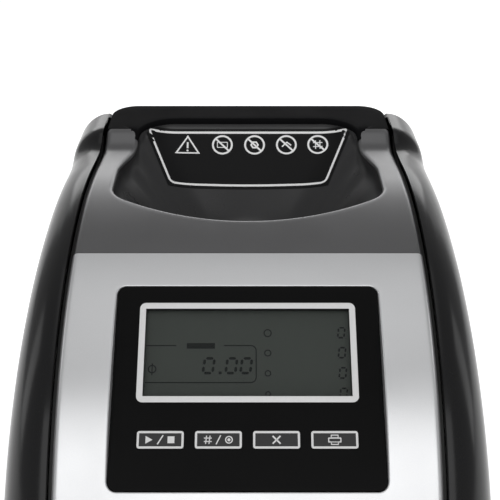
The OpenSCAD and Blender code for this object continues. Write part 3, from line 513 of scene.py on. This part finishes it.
def flared(points):
    """Points round the mouth with its sides drawn in towards the rear and out towards the front."""
    out = []
    for x, y in points:
        share = smoothstep((y - FLARE_Y) / FLARE_LENGTH)
        half = MOUTH_WIDE_HALF + (MOUTH_REAR_HALF - MOUTH_WIDE_HALF) * share
        out.append((x * half / MOUTH_HALF, y))
    return out


def mouth_front(grow, steps, soft_steps):
    """The mouth's front edge from its left end to its right end.
    It is an arc that meets the sides in small rounds."""
    half, big, small = MOUTH_HALF + grow, MOUTH_FRONT_R + grow, MOUTH_SOFT_R + grow
    cy = MOUTH_FRONT_Y + MOUTH_FRONT_R
    cx = half - small
    drop = math.sqrt((big - small) ** 2 - cx ** 2)
    tilt = math.degrees(math.atan2(cx, drop))
    left = arc(-cx, cy - drop, small, 180, 270 - tilt, soft_steps)
    front = arc(0.0, cy, big, 270 - tilt, 270 + tilt, steps)
    right = arc(cx, cy - drop, small, 270 + tilt, 360, soft_steps)
    return left[:-1] + front + right[1:]


def cover_point(x, y, depth):
    """A point at a depth under the skin, square to it."""
    z, slope = skin_at(y)
    h = math.radians(slope)
    return x, y + depth * math.sin(h), z - depth * math.cos(h)


def top_cover():
    """The dark cover, a horseshoe of sections.
    Each one goes from the mouth's edge out to the cover's edge and back inside."""
    arm_steps, round_steps, soft_steps, front_steps = 56, 6, 12, 54
    across = 14
    side_share = 0.2
    lip = 2.3
    seam_y = SEAM_Y + SEAM_GAP
    grows = lip_grows(lip, 5)
    paths = {}
    for grow in grows:
        r = ARM_CORNER_R - grow
        edge = MOUTH_HALF + grow
        start = mouth_front(grow, front_steps, soft_steps)
        arm = arc(-edge - r, ARM_END_Y - ARM_CORNER_R, r, 90, 0, round_steps)
        arm = [(x, min(y + grow, ARM_END_Y)) if i == 0 else (x, y) for i, (x, y) in enumerate(arm)]
        arm += line((-edge, ARM_END_Y - ARM_CORNER_R), start[0], arm_steps)[1:-1]
        paths[grow] = flared(arm + start + [(-x, y) for x, y in reversed(arm)])
    arm_count = round_steps + arm_steps
    inner = paths[grows[0]]
    total = len(inner)
    front_count = total - 2 * arm_count
    side_count = round(front_count * side_share)
    sections = []
    y_turn = inner[arm_count][1]
    for k in range(total):
        j = k - arm_count
        mirrored = total - 1 - k
        on_side = True
        if j < 0 or mirrored < arm_count:
            sign = -1 if j < 0 else 1
            by = inner[k][1]
        elif j <= side_count:
            sign = -1
            by = y_turn + (seam_y - y_turn) * j / side_count
        elif front_count - 1 - j <= side_count:
            sign = 1
            by = y_turn + (seam_y - y_turn) * (front_count - 1 - j) / side_count
        else:
            on_side = False
            by = seam_y
            share = (j - side_count) / (front_count - 1 - 2 * side_count)
            sign = -1 + 2 * share
        edge = COVER_HALF - taper(by)
        bx = sign * (edge - EDGE_R)
        section = []
        x, y = paths[grows[-1]][k]
        section.append((x, y, skin_at(y)[0] - WALL))
        for grow in reversed(grows):
            x, y = paths[grow][k]
            fall = lip_fall(lip, grow)
            section.append((x, y, skin_at(y)[0] - fall))
        x0, y0 = paths[grows[0]][k]
        for i in range(1, across + 1):
            f = i / across
            section.append(cover_point(x0 + (bx - x0) * f, y0 + (by - y0) * f, 0.0))
        if on_side:
            for x, depth in side_edge(sign, edge, SKIRT_H)[1:]:
                section.append(cover_point(x, by, depth))
        else:
            section += [cover_point(bx, by, 0.0)] * EDGE_STEPS
            section += [cover_point(bx, by, WALL)] * EDGE_TAIL
        for f in (0.66, 0.33):
            x, y = x0 + (bx - x0) * f, y0 + (by - y0) * f
            section.append((x, y, skin_at(y)[0] - WALL))
        sections.append(section)
    piece("top_cover_shell", loft(sections, False), "body", "graphite_paint", "top_cover", sharp=40.0)


# ---- Hopper ----
WELL_Y, WELL_R, WELL_TOP_Z = 33.0, 42.0, 258.0
PLATE_TOP_Z = 225.0
SHELF_Z, REAR_EDGE_Z = 297.0, 316.0
# The funnel's top edge rises from the shelf to just under the rear edge
FUNNEL_REAR_Z = REAR_EDGE_Z - 2.0
RISE_Y, RISE_LENGTH = 70.0, 32.0
WELL_MIDDLE_Z = 246.0
FLANGE_R, FLANGE_T, FLANGE_BREAK = 50.0, 2.5, 0.5
RIM_T = 3.0
RIM_HALF = COVER_HALF - COVER_TAPER
RIM_FRONT_Y = ARM_END_Y + 0.3
OUTLET_X, OUTLET_HALF, OUTLET_TOP_Z = -24.0, 15.0, 229.8
BOWL_TOP_GAP = 2.9
BOWL_TOP_BAND = 0.5


def mouth_rear(grow, side_steps, corner_steps, rear_steps, front_y):
    """The mouth's sides and rear from the right front to the left front."""
    half, r, rear = MOUTH_HALF + grow, MOUTH_CORNER_R + grow, MOUTH_REAR_Y + grow
    right = line((half, front_y), (half, rear - r), side_steps)[:-1]
    right += arc(half - r, rear - r, r, 0, 90, corner_steps)
    back = line((half - r, rear), (r - half, rear), rear_steps)[1:-1]
    return right + back + [(-x, y) for x, y in reversed(right)]


def bowl_outline(grow):
    """The whole mouth once round."""
    front_steps, soft_steps = 40, 10
    side_steps, corner_steps, rear_steps = 26, 14, 26
    front = mouth_front(grow, front_steps, soft_steps)
    rear = mouth_rear(grow, side_steps, corner_steps, rear_steps, front[-1][1])
    return flared(front + rear[1:-1])


def eased(v):
    """0 to 1 with both ends starting level, so that the funnel's wall leaves its edges upright."""
    ramp = 0.14
    span = 1 - ramp
    if v < ramp:
        return v * v / (2 * ramp) / span
    if v > 1 - ramp:
        return 1 - (1 - v) ** 2 / (2 * ramp) / span
    return (v - ramp / 2) / span


def bowl_profile(point, grown):
    """Inside of the bowl down one station and outside of it back up."""
    x, y = point
    gx, gy = grown
    angle = math.atan2(y - WELL_Y, x)
    start_z = SHELF_Z + (FUNNEL_REAR_Z - SHELF_Z) * smoothstep((y - RISE_Y) / RISE_LENGTH)
    rim_z = skin_at(y)[0] - BOWL_TOP_GAP
    start_z = min(start_z, rim_z - BOWL_TOP_BAND)
    cx, cy = math.cos(angle), math.sin(angle)
    ex, ey = cx * WELL_R, WELL_Y + cy * WELL_R
    ox, oy = cx * (WELL_R + WALL), WELL_Y + cy * (WELL_R + WALL)
    on_outlet = cy < 0 and abs(ex - OUTLET_X) < OUTLET_HALF
    low_z = OUTLET_TOP_Z if on_outlet else PLATE_TOP_Z
    inside = [(x, y, rim_z)]
    outside = [(gx, gy, rim_z)]
    steps, outside_every = 24, 6
    for i in range(steps + 1):
        v = i / steps
        e = eased(v)
        z = start_z + (WELL_TOP_Z - start_z) * v
        inside.append((x + (ex - x) * e, y + (ey - y) * e, z))
        if i % outside_every == 0:
            outside.append((gx + (ox - gx) * e, gy + (oy - gy) * e, z))
    for z in (WELL_MIDDLE_Z, low_z):
        inside.append((ex, ey, z))
        outside.append((ox, oy, z))
    return inside + outside[::-1]


def rim_sections():
    """The flat rim round the hopper's back.
    Each section goes from its inner edge to its outer edge and back below."""
    corner, rear, side = 16, 30, 6
    across = 6
    inner_r, outer_r = 1.6, 1.2
    inner_grows = lip_grows(inner_r, 5)
    outer_grows = [-grow for grow in lip_grows(outer_r, 5)]
    inner = {g: flared(mouth_rear(g, side, corner, rear, RIM_FRONT_Y)) for g in inner_grows}

    def outer_path(grow):
        half, back, r = RIM_HALF + grow, REAR_Y + grow, RIM_CORNER_R + grow
        right = line((half, RIM_FRONT_Y), (half, back - r), side)[:-1]
        right += arc(half - r, back - r, r, 0, 90, corner)
        middle = line((half - r, back), (r - half, back), rear)[1:-1]
        return right + middle + [(-x, y) for x, y in reversed(right)]

    outer = {g: outer_path(g) for g in outer_grows}
    sections = []
    for k in range(len(inner[inner_grows[0]])):
        section = []
        x, y = inner[inner_grows[-1]][k]
        section.append((x, y, skin_at(y)[0] - RIM_T))
        for grow in reversed(inner_grows):
            x, y = inner[grow][k]
            fall = lip_fall(inner_r, grow)
            section.append((x, y, skin_at(y)[0] - fall))
        a, b = inner[inner_grows[0]][k], outer[outer_grows[0]][k]
        for i in range(1, across):
            f = i / across
            x, y = a[0] + (b[0] - a[0]) * f, a[1] + (b[1] - a[1]) * f
            section.append((x, y, skin_at(y)[0]))
        for grow in outer_grows:
            x, y = outer[grow][k]
            fall = lip_fall(outer_r, -grow)
            section.append((x, y, skin_at(y)[0] - fall))
        x, y = outer[outer_grows[-1]][k]
        section.append((x, y, skin_at(y)[0] - RIM_T))
        sections.append(section)
    return sections


def flange_part():
    """The flange at the bottom of the well, on the disc plate."""
    sections = []
    steps = 96
    inner_r = WELL_R + WALL - 0.2
    top_z = PLATE_TOP_Z + FLANGE_T
    rings = ((inner_r, PLATE_TOP_Z), (FLANGE_R, PLATE_TOP_Z), (FLANGE_R, top_z - FLANGE_BREAK),
             (FLANGE_R - FLANGE_BREAK, top_z), (inner_r, top_z))
    for k in range(steps):
        a = 2 * math.pi * k / steps
        c, s = math.cos(a), math.sin(a)
        sections.append([(c * r, WELL_Y + s * r, z) for r, z in rings])
    return loft(sections, True)


def hopper():
    """The rim and the bowl; the bowl is returned."""
    outline, grown = bowl_outline(0.0), bowl_outline(WALL)
    sections = [bowl_profile(p, g) for p, g in zip(outline, grown)]
    bowl = loft(sections, True)
    # The rim wears the bowl's black with painted shade: a darker colour and almost no shine
    piece("hopper_rim", loft(rim_sections(), False), "body", "hopper_black", sharp=40.0, finish="rim_shaded_black")
    shell = merged([bowl, flange_part()])
    return piece("hopper_shell", shell, "body", "hopper_black", "hopper_bowl", sharp=40.0)


# ---- Label on the hopper's back wall ----
WALL_LEAN = math.atan((MOUTH_REAR_Y - WELL_Y - WELL_R) / (REAR_EDGE_Z - WELL_TOP_Z))
LABEL_TOP_HALF, LABEL_BOTTOM_HALF = 61.5, 46.0
LABEL_DROP, LABEL_H = 6.0, 38.0
FILM_LOW, FILM_HIGH = 0.05, 0.3
PRINT_LOW, PRINT_HIGH = 0.32, 0.4


def wall_follower(obj):
    """A function that puts (x, up, height) points on the hopper's back wall."""
    tree = BVHTree.FromObject(obj, bpy.context.evaluated_depsgraph_get())
    up = Vector((0, math.sin(WALL_LEAN), math.cos(WALL_LEAN)))
    off = Vector((0, -math.cos(WALL_LEAN), math.sin(WALL_LEAN)))
    origin = Vector((0, MOUTH_REAR_Y, REAR_EDGE_Z))
    reach = 30

    def place(x, y, height):
        start = origin + Vector((x, 0, 0)) + up * y + off * reach
        hit = tree.ray_cast(start * MM, -off)[0]
        p = (hit / MM if hit else start - off * reach) + off * height
        return p.x, p.y, p.z

    return place


def label(bowl):
    """The printed film with its white border and its warning pictures."""
    place = wall_follower(bowl)
    rows, columns = 16, 40

    def half_at(y):
        t = (-y - LABEL_DROP) / LABEL_H
        return LABEL_TOP_HALF + (LABEL_BOTTOM_HALF - LABEL_TOP_HALF) * t

    grid = []
    for i in range(rows + 1):
        y = -LABEL_DROP - LABEL_H * i / rows
        grid.append([(half_at(y) * (2 * j / columns - 1), y) for j in range(columns + 1)])
    film = thin_shell(grid, False, place, FILM_LOW, FILM_HIGH)
    piece("label_film", film, "body", "label_print", "hopper_label")
    inset, width = 1.6, 1.3

    def border_line(inward, soft):
        top, bottom = -LABEL_DROP - inward, -LABEL_DROP - LABEL_H + inward
        wide, narrow = half_at(top) - inward, half_at(bottom) - inward
        return soft_outline([(wide, top), (-wide, top), (-narrow, bottom), (narrow, bottom)], soft, 30)

    border = [list(pair) for pair in zip(border_line(inset + width, 2.4), border_line(inset, 3.4))]
    icons = [(border, True)]
    icon_y, icon_r = -LABEL_DROP - 10.0, 6.2
    tri_x, tri_half, tri_up, tri_down = -35.9, 7.4, 6.2, 5.8
    tri = [(tri_x, icon_y + tri_up), (tri_x - tri_half, icon_y - tri_down),
           (tri_x + tri_half, icon_y - tri_down)]
    icons.append(polygon_ring(tri, tri_x, icon_y - 1.8, 0.78))
    icons.append(bar_shape(tri_x, icon_y + 1.6, tri_x, icon_y - 2.3, 1.1))
    icons.append(ring_shape(tri_x, icon_y - 3.8, 0.65, 0.55, 10))
    centres = (-15.3, 3.8, 22.7, 41.3)
    d = (icon_r - 0.5) * math.sqrt(0.5)
    for x in centres:
        icons.append(ring_shape(x, icon_y, icon_r, 1.15, 36))
        icons.append(bar_shape(x - d, icon_y + d, x + d, icon_y - d, 1.1, 6))
    icons.append(frame_shape(centres[0], icon_y, 3.2, 1.9, 0.4, 0.5))
    icons.append(ring_shape(centres[1], icon_y, 2.6, 1.1, 6))
    icons.append(bar_shape(centres[2] - 2.6, icon_y - 1.2, centres[2] + 0.4, icon_y + 1.8, 0.8))
    icons.append(bar_shape(centres[2] + 0.2, icon_y + 1.8, centres[2] + 2.8, icon_y - 0.4, 0.8))
    for offset in (-1.3, 1.3):
        icons.append(bar_shape(centres[3] - 2.8, icon_y + offset, centres[3] + 2.8, icon_y + offset, 0.6))
        icons.append(bar_shape(centres[3] + offset, icon_y - 2.8, centres[3] + offset, icon_y + 2.8, 0.6))
    drawing("label_pictures", icons, place, PRINT_LOW, PRINT_HIGH, "body", "white_print", "label_white")


# ---- Display and keys ----
def digit_zero(x, y, w, h, stroke, slant):
    """The six outer bars of a seven-bar zero whose lower left corner is (x, y)."""
    gap = stroke * 0.18
    half = stroke / 2

    def at(u, v):
        return x + u + slant * (v - h / 2), y + v

    corners = [at(half, half), at(w - half, half), at(w - half, h / 2), at(w - half, h - half),
               at(half, h - half), at(half, h / 2)]
    out = []
    for i, a in enumerate(corners):
        b = corners[(i + 1) % 6]
        length = math.hypot(b[0] - a[0], b[1] - a[1])
        t = (gap + half * 0.4) / length
        out.append(bar_shape(a[0] + (b[0] - a[0]) * t, a[1] + (b[1] - a[1]) * t,
                             b[0] - (b[0] - a[0]) * t, b[1] - (b[1] - a[1]) * t, stroke, 3, half * 0.8))
    return out


def display_segments():
    """The display's dark ink: the total in its frame, and a coin mark and a count for each coin size."""
    shapes = []
    slant = 0.13
    total_y, total_w, total_h, total_stroke = 5.9, 5.6, 8.2, 1.25
    for x in (-20.4, -10.1, -3.4):
        shapes += digit_zero(x, total_y, total_w, total_h, total_stroke, slant)
    shapes.append(block_shape(-13.1, 6.0, -11.7, 7.3))
    count_x, count_w, count_h, count_stroke = 41.2, 3.7, 5.6, 0.8
    for y in (23.0, 13.4, 3.8, -5.8):
        shapes += digit_zero(count_x, y, count_w, count_h, count_stroke, slant)
    shapes.append(block_shape(-27.8, 18.1, -14.9, 20.8))
    thin = 0.5
    left, right, low, high, r = -46.2, 3.9, 2.1, 19.6, 2.4
    shapes.append(bar_shape(left, low, right - r, low, thin, 6))
    shapes.append(bar_shape(left, high, -32.7, high, thin, 3))
    shapes.append(bar_shape(-10.8, high, right - r, high, thin, 3))
    shapes.append(bar_shape(right, low + r, right, high - r, thin, 3))
    for cy, a in ((low + r, -90), (high - r, 0)):
        outer = arc(right - r, cy, r + thin / 2, a, a + 90, 6)
        inner = arc(right - r, cy, r - thin / 2, a, a + 90, 6)
        shapes.append(([list(pair) for pair in zip(inner, outer)], False))
    # A coin mark before the total, and one for each coin size beside its count
    total_mark_x = -43.2
    shapes.append(ring_shape(total_mark_x, 8.4, 2.0, 0.55, 24))
    shapes.append(bar_shape(total_mark_x, 5.6, total_mark_x, 11.2, thin))
    for y, size in zip((25.6, 16.0, 6.4, -3.2), (1.9, 1.65, 1.5, 1.3)):
        shapes.append(ring_shape(9.2, y, size, thin, 24))
    ink_low, ink_high = -4.19, -4.12
    drawing("display_segments", shapes, on_panel, ink_low, ink_high, "body", "display_glass", "lcd_ink")


def key_pictures():
    """The white frame and picture on each key."""
    half_w, half_h = 10.2, 3.85
    top, thick = 0.4, 0.07

    def mark(name, index, shapes):
        cx = (index - 1.5) * KEY_PITCH

        def place(x, y, h):
            return on_panel(cx + x, KEYS_Y + y, h)

        shapes = [frame_shape(0.0, 0.0, half_w, half_h, 1.1, 0.95)] + shapes
        drawing("key_marks_" + name, shapes, place, top, top + thick, "key_" + name, "white_print")

    mark("run", 0, [([[(-6.4, -1.7), (-6.4, 1.7)], [(-3.4, -0.05), (-3.4, 0.05)]], False),
                    bar_shape(-1.2, -2.0, 1.2, 2.0, 0.55), block_shape(3.2, -1.5, 6.2, 1.5)])
    hash_x, coin_x = -4.6, 4.6
    hash_bars = []
    for offset in (-0.75, 0.75):
        hash_bars.append(bar_shape(hash_x - 1.7, offset, hash_x + 1.7, offset, 0.45))
        hash_bars.append(bar_shape(hash_x + offset - 0.2, -1.8, hash_x + offset + 0.2, 1.8, 0.45))
    mark("mode", 1, hash_bars + [bar_shape(-1.0, -2.0, 1.0, 2.0, 0.5), ring_shape(coin_x, 0.0, 1.7, 0.5, 24),
                                 ring_shape(coin_x, 0.0, 0.7, 0.65, 12)])
    mark("clear", 2, [bar_shape(-1.7, -1.7, 1.7, 1.7, 0.7), bar_shape(-1.7, 1.7, 1.7, -1.7, 0.7)])
    mark("print", 3, [frame_shape(0.0, -0.1, 2.9, 1.1, 0.3, 0.5), frame_shape(0.0, 1.5, 1.7, 0.75, 0.15, 0.4),
                      frame_shape(0.0, -1.5, 1.7, 0.75, 0.15, 0.4)])


# ---- Materials ----
def new_material(name):
    """An empty material with its nodes, its links and its output node."""
    mat = bpy.data.materials.new(name)
    mat.use_nodes = True
    mat.node_tree.nodes.clear()
    out = mat.node_tree.nodes.new("ShaderNodeOutputMaterial")
    return mat, mat.node_tree.nodes, mat.node_tree.links, out


def noise(nodes, links, scale, detail=3.0, seed=0.0, stretch=(1, 1, 1)):
    """A noise node over the piece's own coordinates; scale is in cells for each metre."""
    coords = nodes.new("ShaderNodeTexCoord")
    mapping = nodes.new("ShaderNodeMapping")
    mapping.inputs["Location"].default_value = (seed, seed * 0.7, seed * 1.3)
    mapping.inputs["Scale"].default_value = stretch
    node = nodes.new("ShaderNodeTexNoise")
    node.inputs["Scale"].default_value = scale
    node.inputs["Detail"].default_value = detail
    links.new(coords.outputs["Object"], mapping.inputs["Vector"])
    links.new(mapping.outputs["Vector"], node.inputs["Vector"])
    return node


def remap(nodes, links, source, low, high, start=0.3, end=0.7):
    """A value between start and end brought to the range from low to high."""
    node = nodes.new("ShaderNodeMapRange")
    node.inputs["From Min"].default_value = start
    node.inputs["From Max"].default_value = end
    node.inputs["To Min"].default_value = low
    node.inputs["To Max"].default_value = high
    links.new(source, node.inputs["Value"])
    return node.outputs["Result"]


def surface(name, color, rough, *, rough_var=0.04, color_var=0.06, cloud=35.0, grain=900.0, bump=0.00002,
            metallic=0.0, specular=0.5, coat=0.0, coat_rough=0.08, stretch=(1, 1, 1), seed=0.0):
    """A moulded, painted or metal finish: clouded colour and roughness, and a fine grain in the bump."""
    mat, nodes, links, out = new_material(name)
    shader = nodes.new("ShaderNodeBsdfPrincipled")
    shader.inputs["Metallic"].default_value = metallic
    shader.inputs["Specular IOR Level"].default_value = specular
    shader.inputs["Coat Weight"].default_value = coat
    shader.inputs["Coat Roughness"].default_value = coat_rough
    clouds = noise(nodes, links, cloud, 4.0, seed, stretch)
    links.new(remap(nodes, links, clouds.outputs["Fac"], rough - rough_var, rough + rough_var),
              shader.inputs["Roughness"])
    tint = nodes.new("ShaderNodeMix")
    tint.data_type = "RGBA"
    tint.inputs["A"].default_value = (*[c * (1 - color_var) for c in color], 1)
    tint.inputs["B"].default_value = (*[min(1.0, c * (1 + color_var)) for c in color], 1)
    fine = noise(nodes, links, grain, 2.0, seed + 3.0, stretch)
    links.new(remap(nodes, links, fine.outputs["Fac"], 0.0, 1.0), tint.inputs["Factor"])
    links.new(tint.outputs["Result"], shader.inputs["Base Color"])
    relief = nodes.new("ShaderNodeBump")
    relief.inputs["Strength"].default_value = 1.0
    relief.inputs["Distance"].default_value = bump
    links.new(fine.outputs["Fac"], relief.inputs["Height"])
    links.new(relief.outputs["Normal"], shader.inputs["Normal"])
    links.new(shader.outputs["BSDF"], out.inputs["Surface"])
    return mat


def clear_plastic(name, tint, haze, shine_max, rough):
    """Clear plastic: it lets most light straight through and shines more at grazing angles."""
    mat, nodes, links, out = new_material(name)
    through = nodes.new("ShaderNodeBsdfTransparent")
    through.inputs["Color"].default_value = (*tint, 1)
    shine = nodes.new("ShaderNodeBsdfGlossy")
    shine.inputs["Color"].default_value = (1.0, 1.0, 1.0, 1)
    scratches = noise(nodes, links, 120.0, 5.0, 1.0, (1, 1, 0.2))
    links.new(remap(nodes, links, scratches.outputs["Fac"], rough, rough + 0.12), shine.inputs["Roughness"])
    edge = nodes.new("ShaderNodeLayerWeight")
    edge.inputs["Blend"].default_value = 0.35
    amount = remap(nodes, links, edge.outputs["Fresnel"], haze, shine_max, 0.0, 1.0)
    mix = nodes.new("ShaderNodeMixShader")
    links.new(amount, mix.inputs["Fac"])
    links.new(through.outputs["BSDF"], mix.inputs[1])
    links.new(shine.outputs["BSDF"], mix.inputs[2])
    links.new(mix.outputs["Shader"], out.inputs["Surface"])
    return mat


MATERIALS = {
    "side_gloss": surface("side_gloss", (0.008, 0.008, 0.0085), 0.2, rough_var=0.03, grain=1400.0,
                          bump=0.000003,
                          specular=0.28),
    "silver_paint": surface("silver_paint", (0.66, 0.665, 0.675), 0.36, rough_var=0.03, color_var=0.03,
                            grain=3500.0, bump=0.000008, metallic=0.75, specular=0.5),
    "graphite_paint": surface("graphite_paint", (0.142, 0.142, 0.145), 0.33, rough_var=0.03, color_var=0.05,
                              grain=3500.0, bump=0.000006, metallic=0.75, specular=0.5),
    "hopper_black": surface("hopper_black", (0.018, 0.018, 0.019), 0.3, grain=1200.0, bump=0.00001),
    # Painted shade: the rim is the bowl's own black plastic, given a darker colour and almost no shine so
    # that its flat top reads as dark as it does in shade
    "rim_shaded_black": surface("rim_shaded_black", (0.006, 0.006, 0.0065), 0.45, grain=1200.0, bump=0.000008,
                         specular=0.004),
    "label_print": surface("label_print", (0.006, 0.006, 0.0065), 0.42, grain=800.0, bump=0.000006,
                           specular=0.15),
    "label_white": surface("label_white", (0.95, 0.95, 0.95), 0.5, color_var=0.01, grain=800.0,
                           bump=0.000004),
    "case_black": surface("case_black", (0.022, 0.022, 0.023), 0.5, grain=1100.0, bump=0.00006),
    "panel_black": surface("panel_black", (0.002, 0.002, 0.0021), 0.34, grain=1600.0, bump=0.000006,
                           specular=0.09),
    "white_print": surface("white_print", (0.7, 0.7, 0.7), 0.45, color_var=0.02, grain=900.0, bump=0.000005),
    "window_clear": clear_plastic("window_clear", (0.93, 0.95, 0.94), 0.0, 0.3, 0.05),
    "display_glass": surface("display_glass", (0.062, 0.065, 0.061), 0.5, grain=2500.0, bump=0.000004,
                             specular=0.1),
    "lcd_ink": surface("lcd_ink", (0.01, 0.011, 0.011), 0.5, grain=2500.0, bump=0.000003,
                        specular=0.1),
    "key_black": surface("key_black", (0.012, 0.012, 0.013), 0.42, grain=1500.0, bump=0.00001),
    "board_green": surface("board_green", (0.015, 0.12, 0.05), 0.35, grain=500.0, color_var=0.15,
                           bump=0.00003),
    "chip_black": surface("chip_black", (0.02, 0.02, 0.021), 0.55, grain=1500.0, bump=0.00003),
    "socket_black": surface("socket_black", (0.018, 0.018, 0.019), 0.42, grain=1300.0, bump=0.00003),
    "frame_black": surface("frame_black", (0.012, 0.012, 0.012), 0.5, grain=900.0, bump=0.00002,
                           metallic=0.2),
    "steel": surface("steel", (0.55, 0.55, 0.56), 0.32, metallic=1.0, grain=300.0, bump=0.00001,
                     stretch=(1, 12, 12), rough_var=0.08),
    "disc_metal": surface("disc_metal", (0.62, 0.62, 0.63), 0.26, metallic=1.0, grain=700.0, bump=0.00001,
                          rough_var=0.07),
    "bearing_bronze": surface("bearing_bronze", (0.5, 0.32, 0.14), 0.42, metallic=1.0, grain=1600.0,
                              bump=0.00003),
    "gear_nylon": surface("gear_nylon", (0.8, 0.78, 0.72), 0.42, grain=700.0, bump=0.00001),
    "ribbon_grey": surface("ribbon_grey", (0.36, 0.36, 0.37), 0.45, grain=400.0, bump=0.00004, stretch=(2,
                           0.1, 0.1)),
    "foot_rubber": surface("foot_rubber", (0.018, 0.018, 0.018), 0.8, grain=1200.0, bump=0.00008,
                           specular=0.25),
    "tube_clear": clear_plastic("tube_clear", (0.9, 0.94, 0.95), 0.12, 0.9, 0.08),
}


# ---- The pieces ----
side_panel("side_panel_shell_right", 1)
side_panel("side_panel_shell_left", -1)
front_shell()
top_cover()
bowl_piece = hopper()
bpy.context.view_layer.update()
label(bowl_piece)
display_segments()
key_pictures()

# ---- Finishes and eased edges for the frame's own parts ----
SLOT_OF = {part["node"]: part["material_slot"] for part in frame["record"]["subparts"]}
# Width in millimetres of the eased edge on the parts that show
EASED = {"control_panel": 0.35, "display_bezel": 0.1, "key_run": 0.3, "key_mode": 0.3, "key_clear": 0.3,
         "key_print": 0.3, "rear_cover": 0.5, "coin_tray": 0.8, "chute_block": 0.4, "base_pan": 0.5,
         "power_inlet": 0.3, "switch_body": 0.3, "switch_rocker": 0.4, "printer_port": 0.25,
         "rubber_feet": 0.4, "coin_disc": 0.4}
for node_name, node in frame["nodes"].items():
    finish = MATERIALS[SLOT_OF[node_name]]
    if not node.material_slots:
        node.data.materials.append(finish)
    for slot in node.material_slots:
        slot.link = "OBJECT"
        slot.material = finish
    width = EASED.get(node_name, 0.2 if node_name.startswith("tube_") else 0.0)
    if width:
        weld = node.modifiers.new("weld", "WELD")
        weld.merge_threshold = 0.000002
        ease = node.modifiers.new("eased_edges", "BEVEL")
        ease.width = width * MM
        ease.segments = 3
        ease.limit_method = "ANGLE"
        ease.angle_limit = math.radians(40)
        ease.use_clamp_overlap = True
        ease.harden_normals = True

# ---- Floor, lights and camera, in metres ----
# The paper glows a little, so that it is as pale behind the machine as beside it.
PAPER_GLOW = 0.6
WORLD_LIGHT = 0.35
LENS, SENSOR = 72.0, 36.0
CAMERA_PLACE = (0.0011, -0.467, 0.4656)
CAMERA_DOWN = 22


def backdrop():
    """A pale floor that curves up far behind the machine."""
    half, front, bend, r, top = 6.0, -5.0, 5.0, 1.5, 5.0
    bend_steps = 12
    profile = line((front, 0.0), (bend, 0.0), 10)
    for i in range(1, bend_steps + 1):
        a = math.pi / 2 * i / bend_steps
        profile.append((bend + r * math.sin(a), r - r * math.cos(a)))
    profile.append((bend + r, top))
    points = [(x, y, z) for x in (-half, half) for y, z in profile]
    count = len(profile)
    faces = [(i, i + 1, count + i + 1, count + i) for i in range(count - 1)]
    mesh = bpy.data.meshes.new("backdrop")
    mesh.from_pydata(points, [], faces)
    mesh.shade_smooth()
    paper = surface("backdrop", (0.8, 0.8, 0.8), 0.85, grain=40.0, color_var=0.01, bump=0.0001, specular=0.1)
    shader = paper.node_tree.nodes["Principled BSDF"]
    shader.inputs["Emission Color"].default_value = (1.0, 1.0, 1.0, 1)
    shader.inputs["Emission Strength"].default_value = PAPER_GLOW
    mesh.materials.append(paper)
    obj = bpy.data.objects.new("backdrop", mesh)
    bpy.context.scene.collection.objects.link(obj)


def area_light(name, place, target, size, power):
    """A soft box at place that faces target, in metres."""
    data = bpy.data.lights.new(name, "AREA")
    data.shape = "RECTANGLE"
    data.size, data.size_y = size
    data.energy = power
    obj = bpy.data.objects.new(name, data)
    bpy.context.scene.collection.objects.link(obj)
    obj.location = place
    obj.rotation_mode = "QUATERNION"
    obj.rotation_quaternion = (Vector(target) - Vector(place)).to_track_quat("-Z", "Y")


backdrop()
MIDDLE = (0.0, 0.0, 0.2)
area_light("front_box", (0.0, -1.9, 1.35), MIDDLE, (2.6, 1.7), 21)
area_light("top_box", (0.0, -0.1, 2.2), MIDDLE, (1.4, 1.4), 3)
area_light("rear_box", (0.0, 2.2, 1.45), MIDDLE, (2.6, 0.9), 12.5)
area_light("left_box", (-1.9, 0.3, 0.8), MIDDLE, (0.5, 1.2), 2.5)
area_light("right_box", (1.9, 0.3, 0.8), MIDDLE, (0.5, 1.2), 2.5)

world = bpy.data.worlds.new("studio")
bpy.context.scene.world = world
world.use_nodes = True
background = world.node_tree.nodes["Background"]
background.inputs["Color"].default_value = (1.0, 1.0, 1.0, 1)
background.inputs["Strength"].default_value = WORLD_LIGHT

camera_data = bpy.data.cameras.new("camera")
camera_data.lens = LENS
camera_data.sensor_width = SENSOR
camera = bpy.data.objects.new("camera", camera_data)
bpy.context.scene.collection.objects.link(camera)
camera.location = CAMERA_PLACE
camera.rotation_euler = (math.radians(90 - CAMERA_DOWN), 0.0, 0.0)
bpy.context.scene.camera = camera
bpy.context.scene.view_settings.view_transform = "Standard"
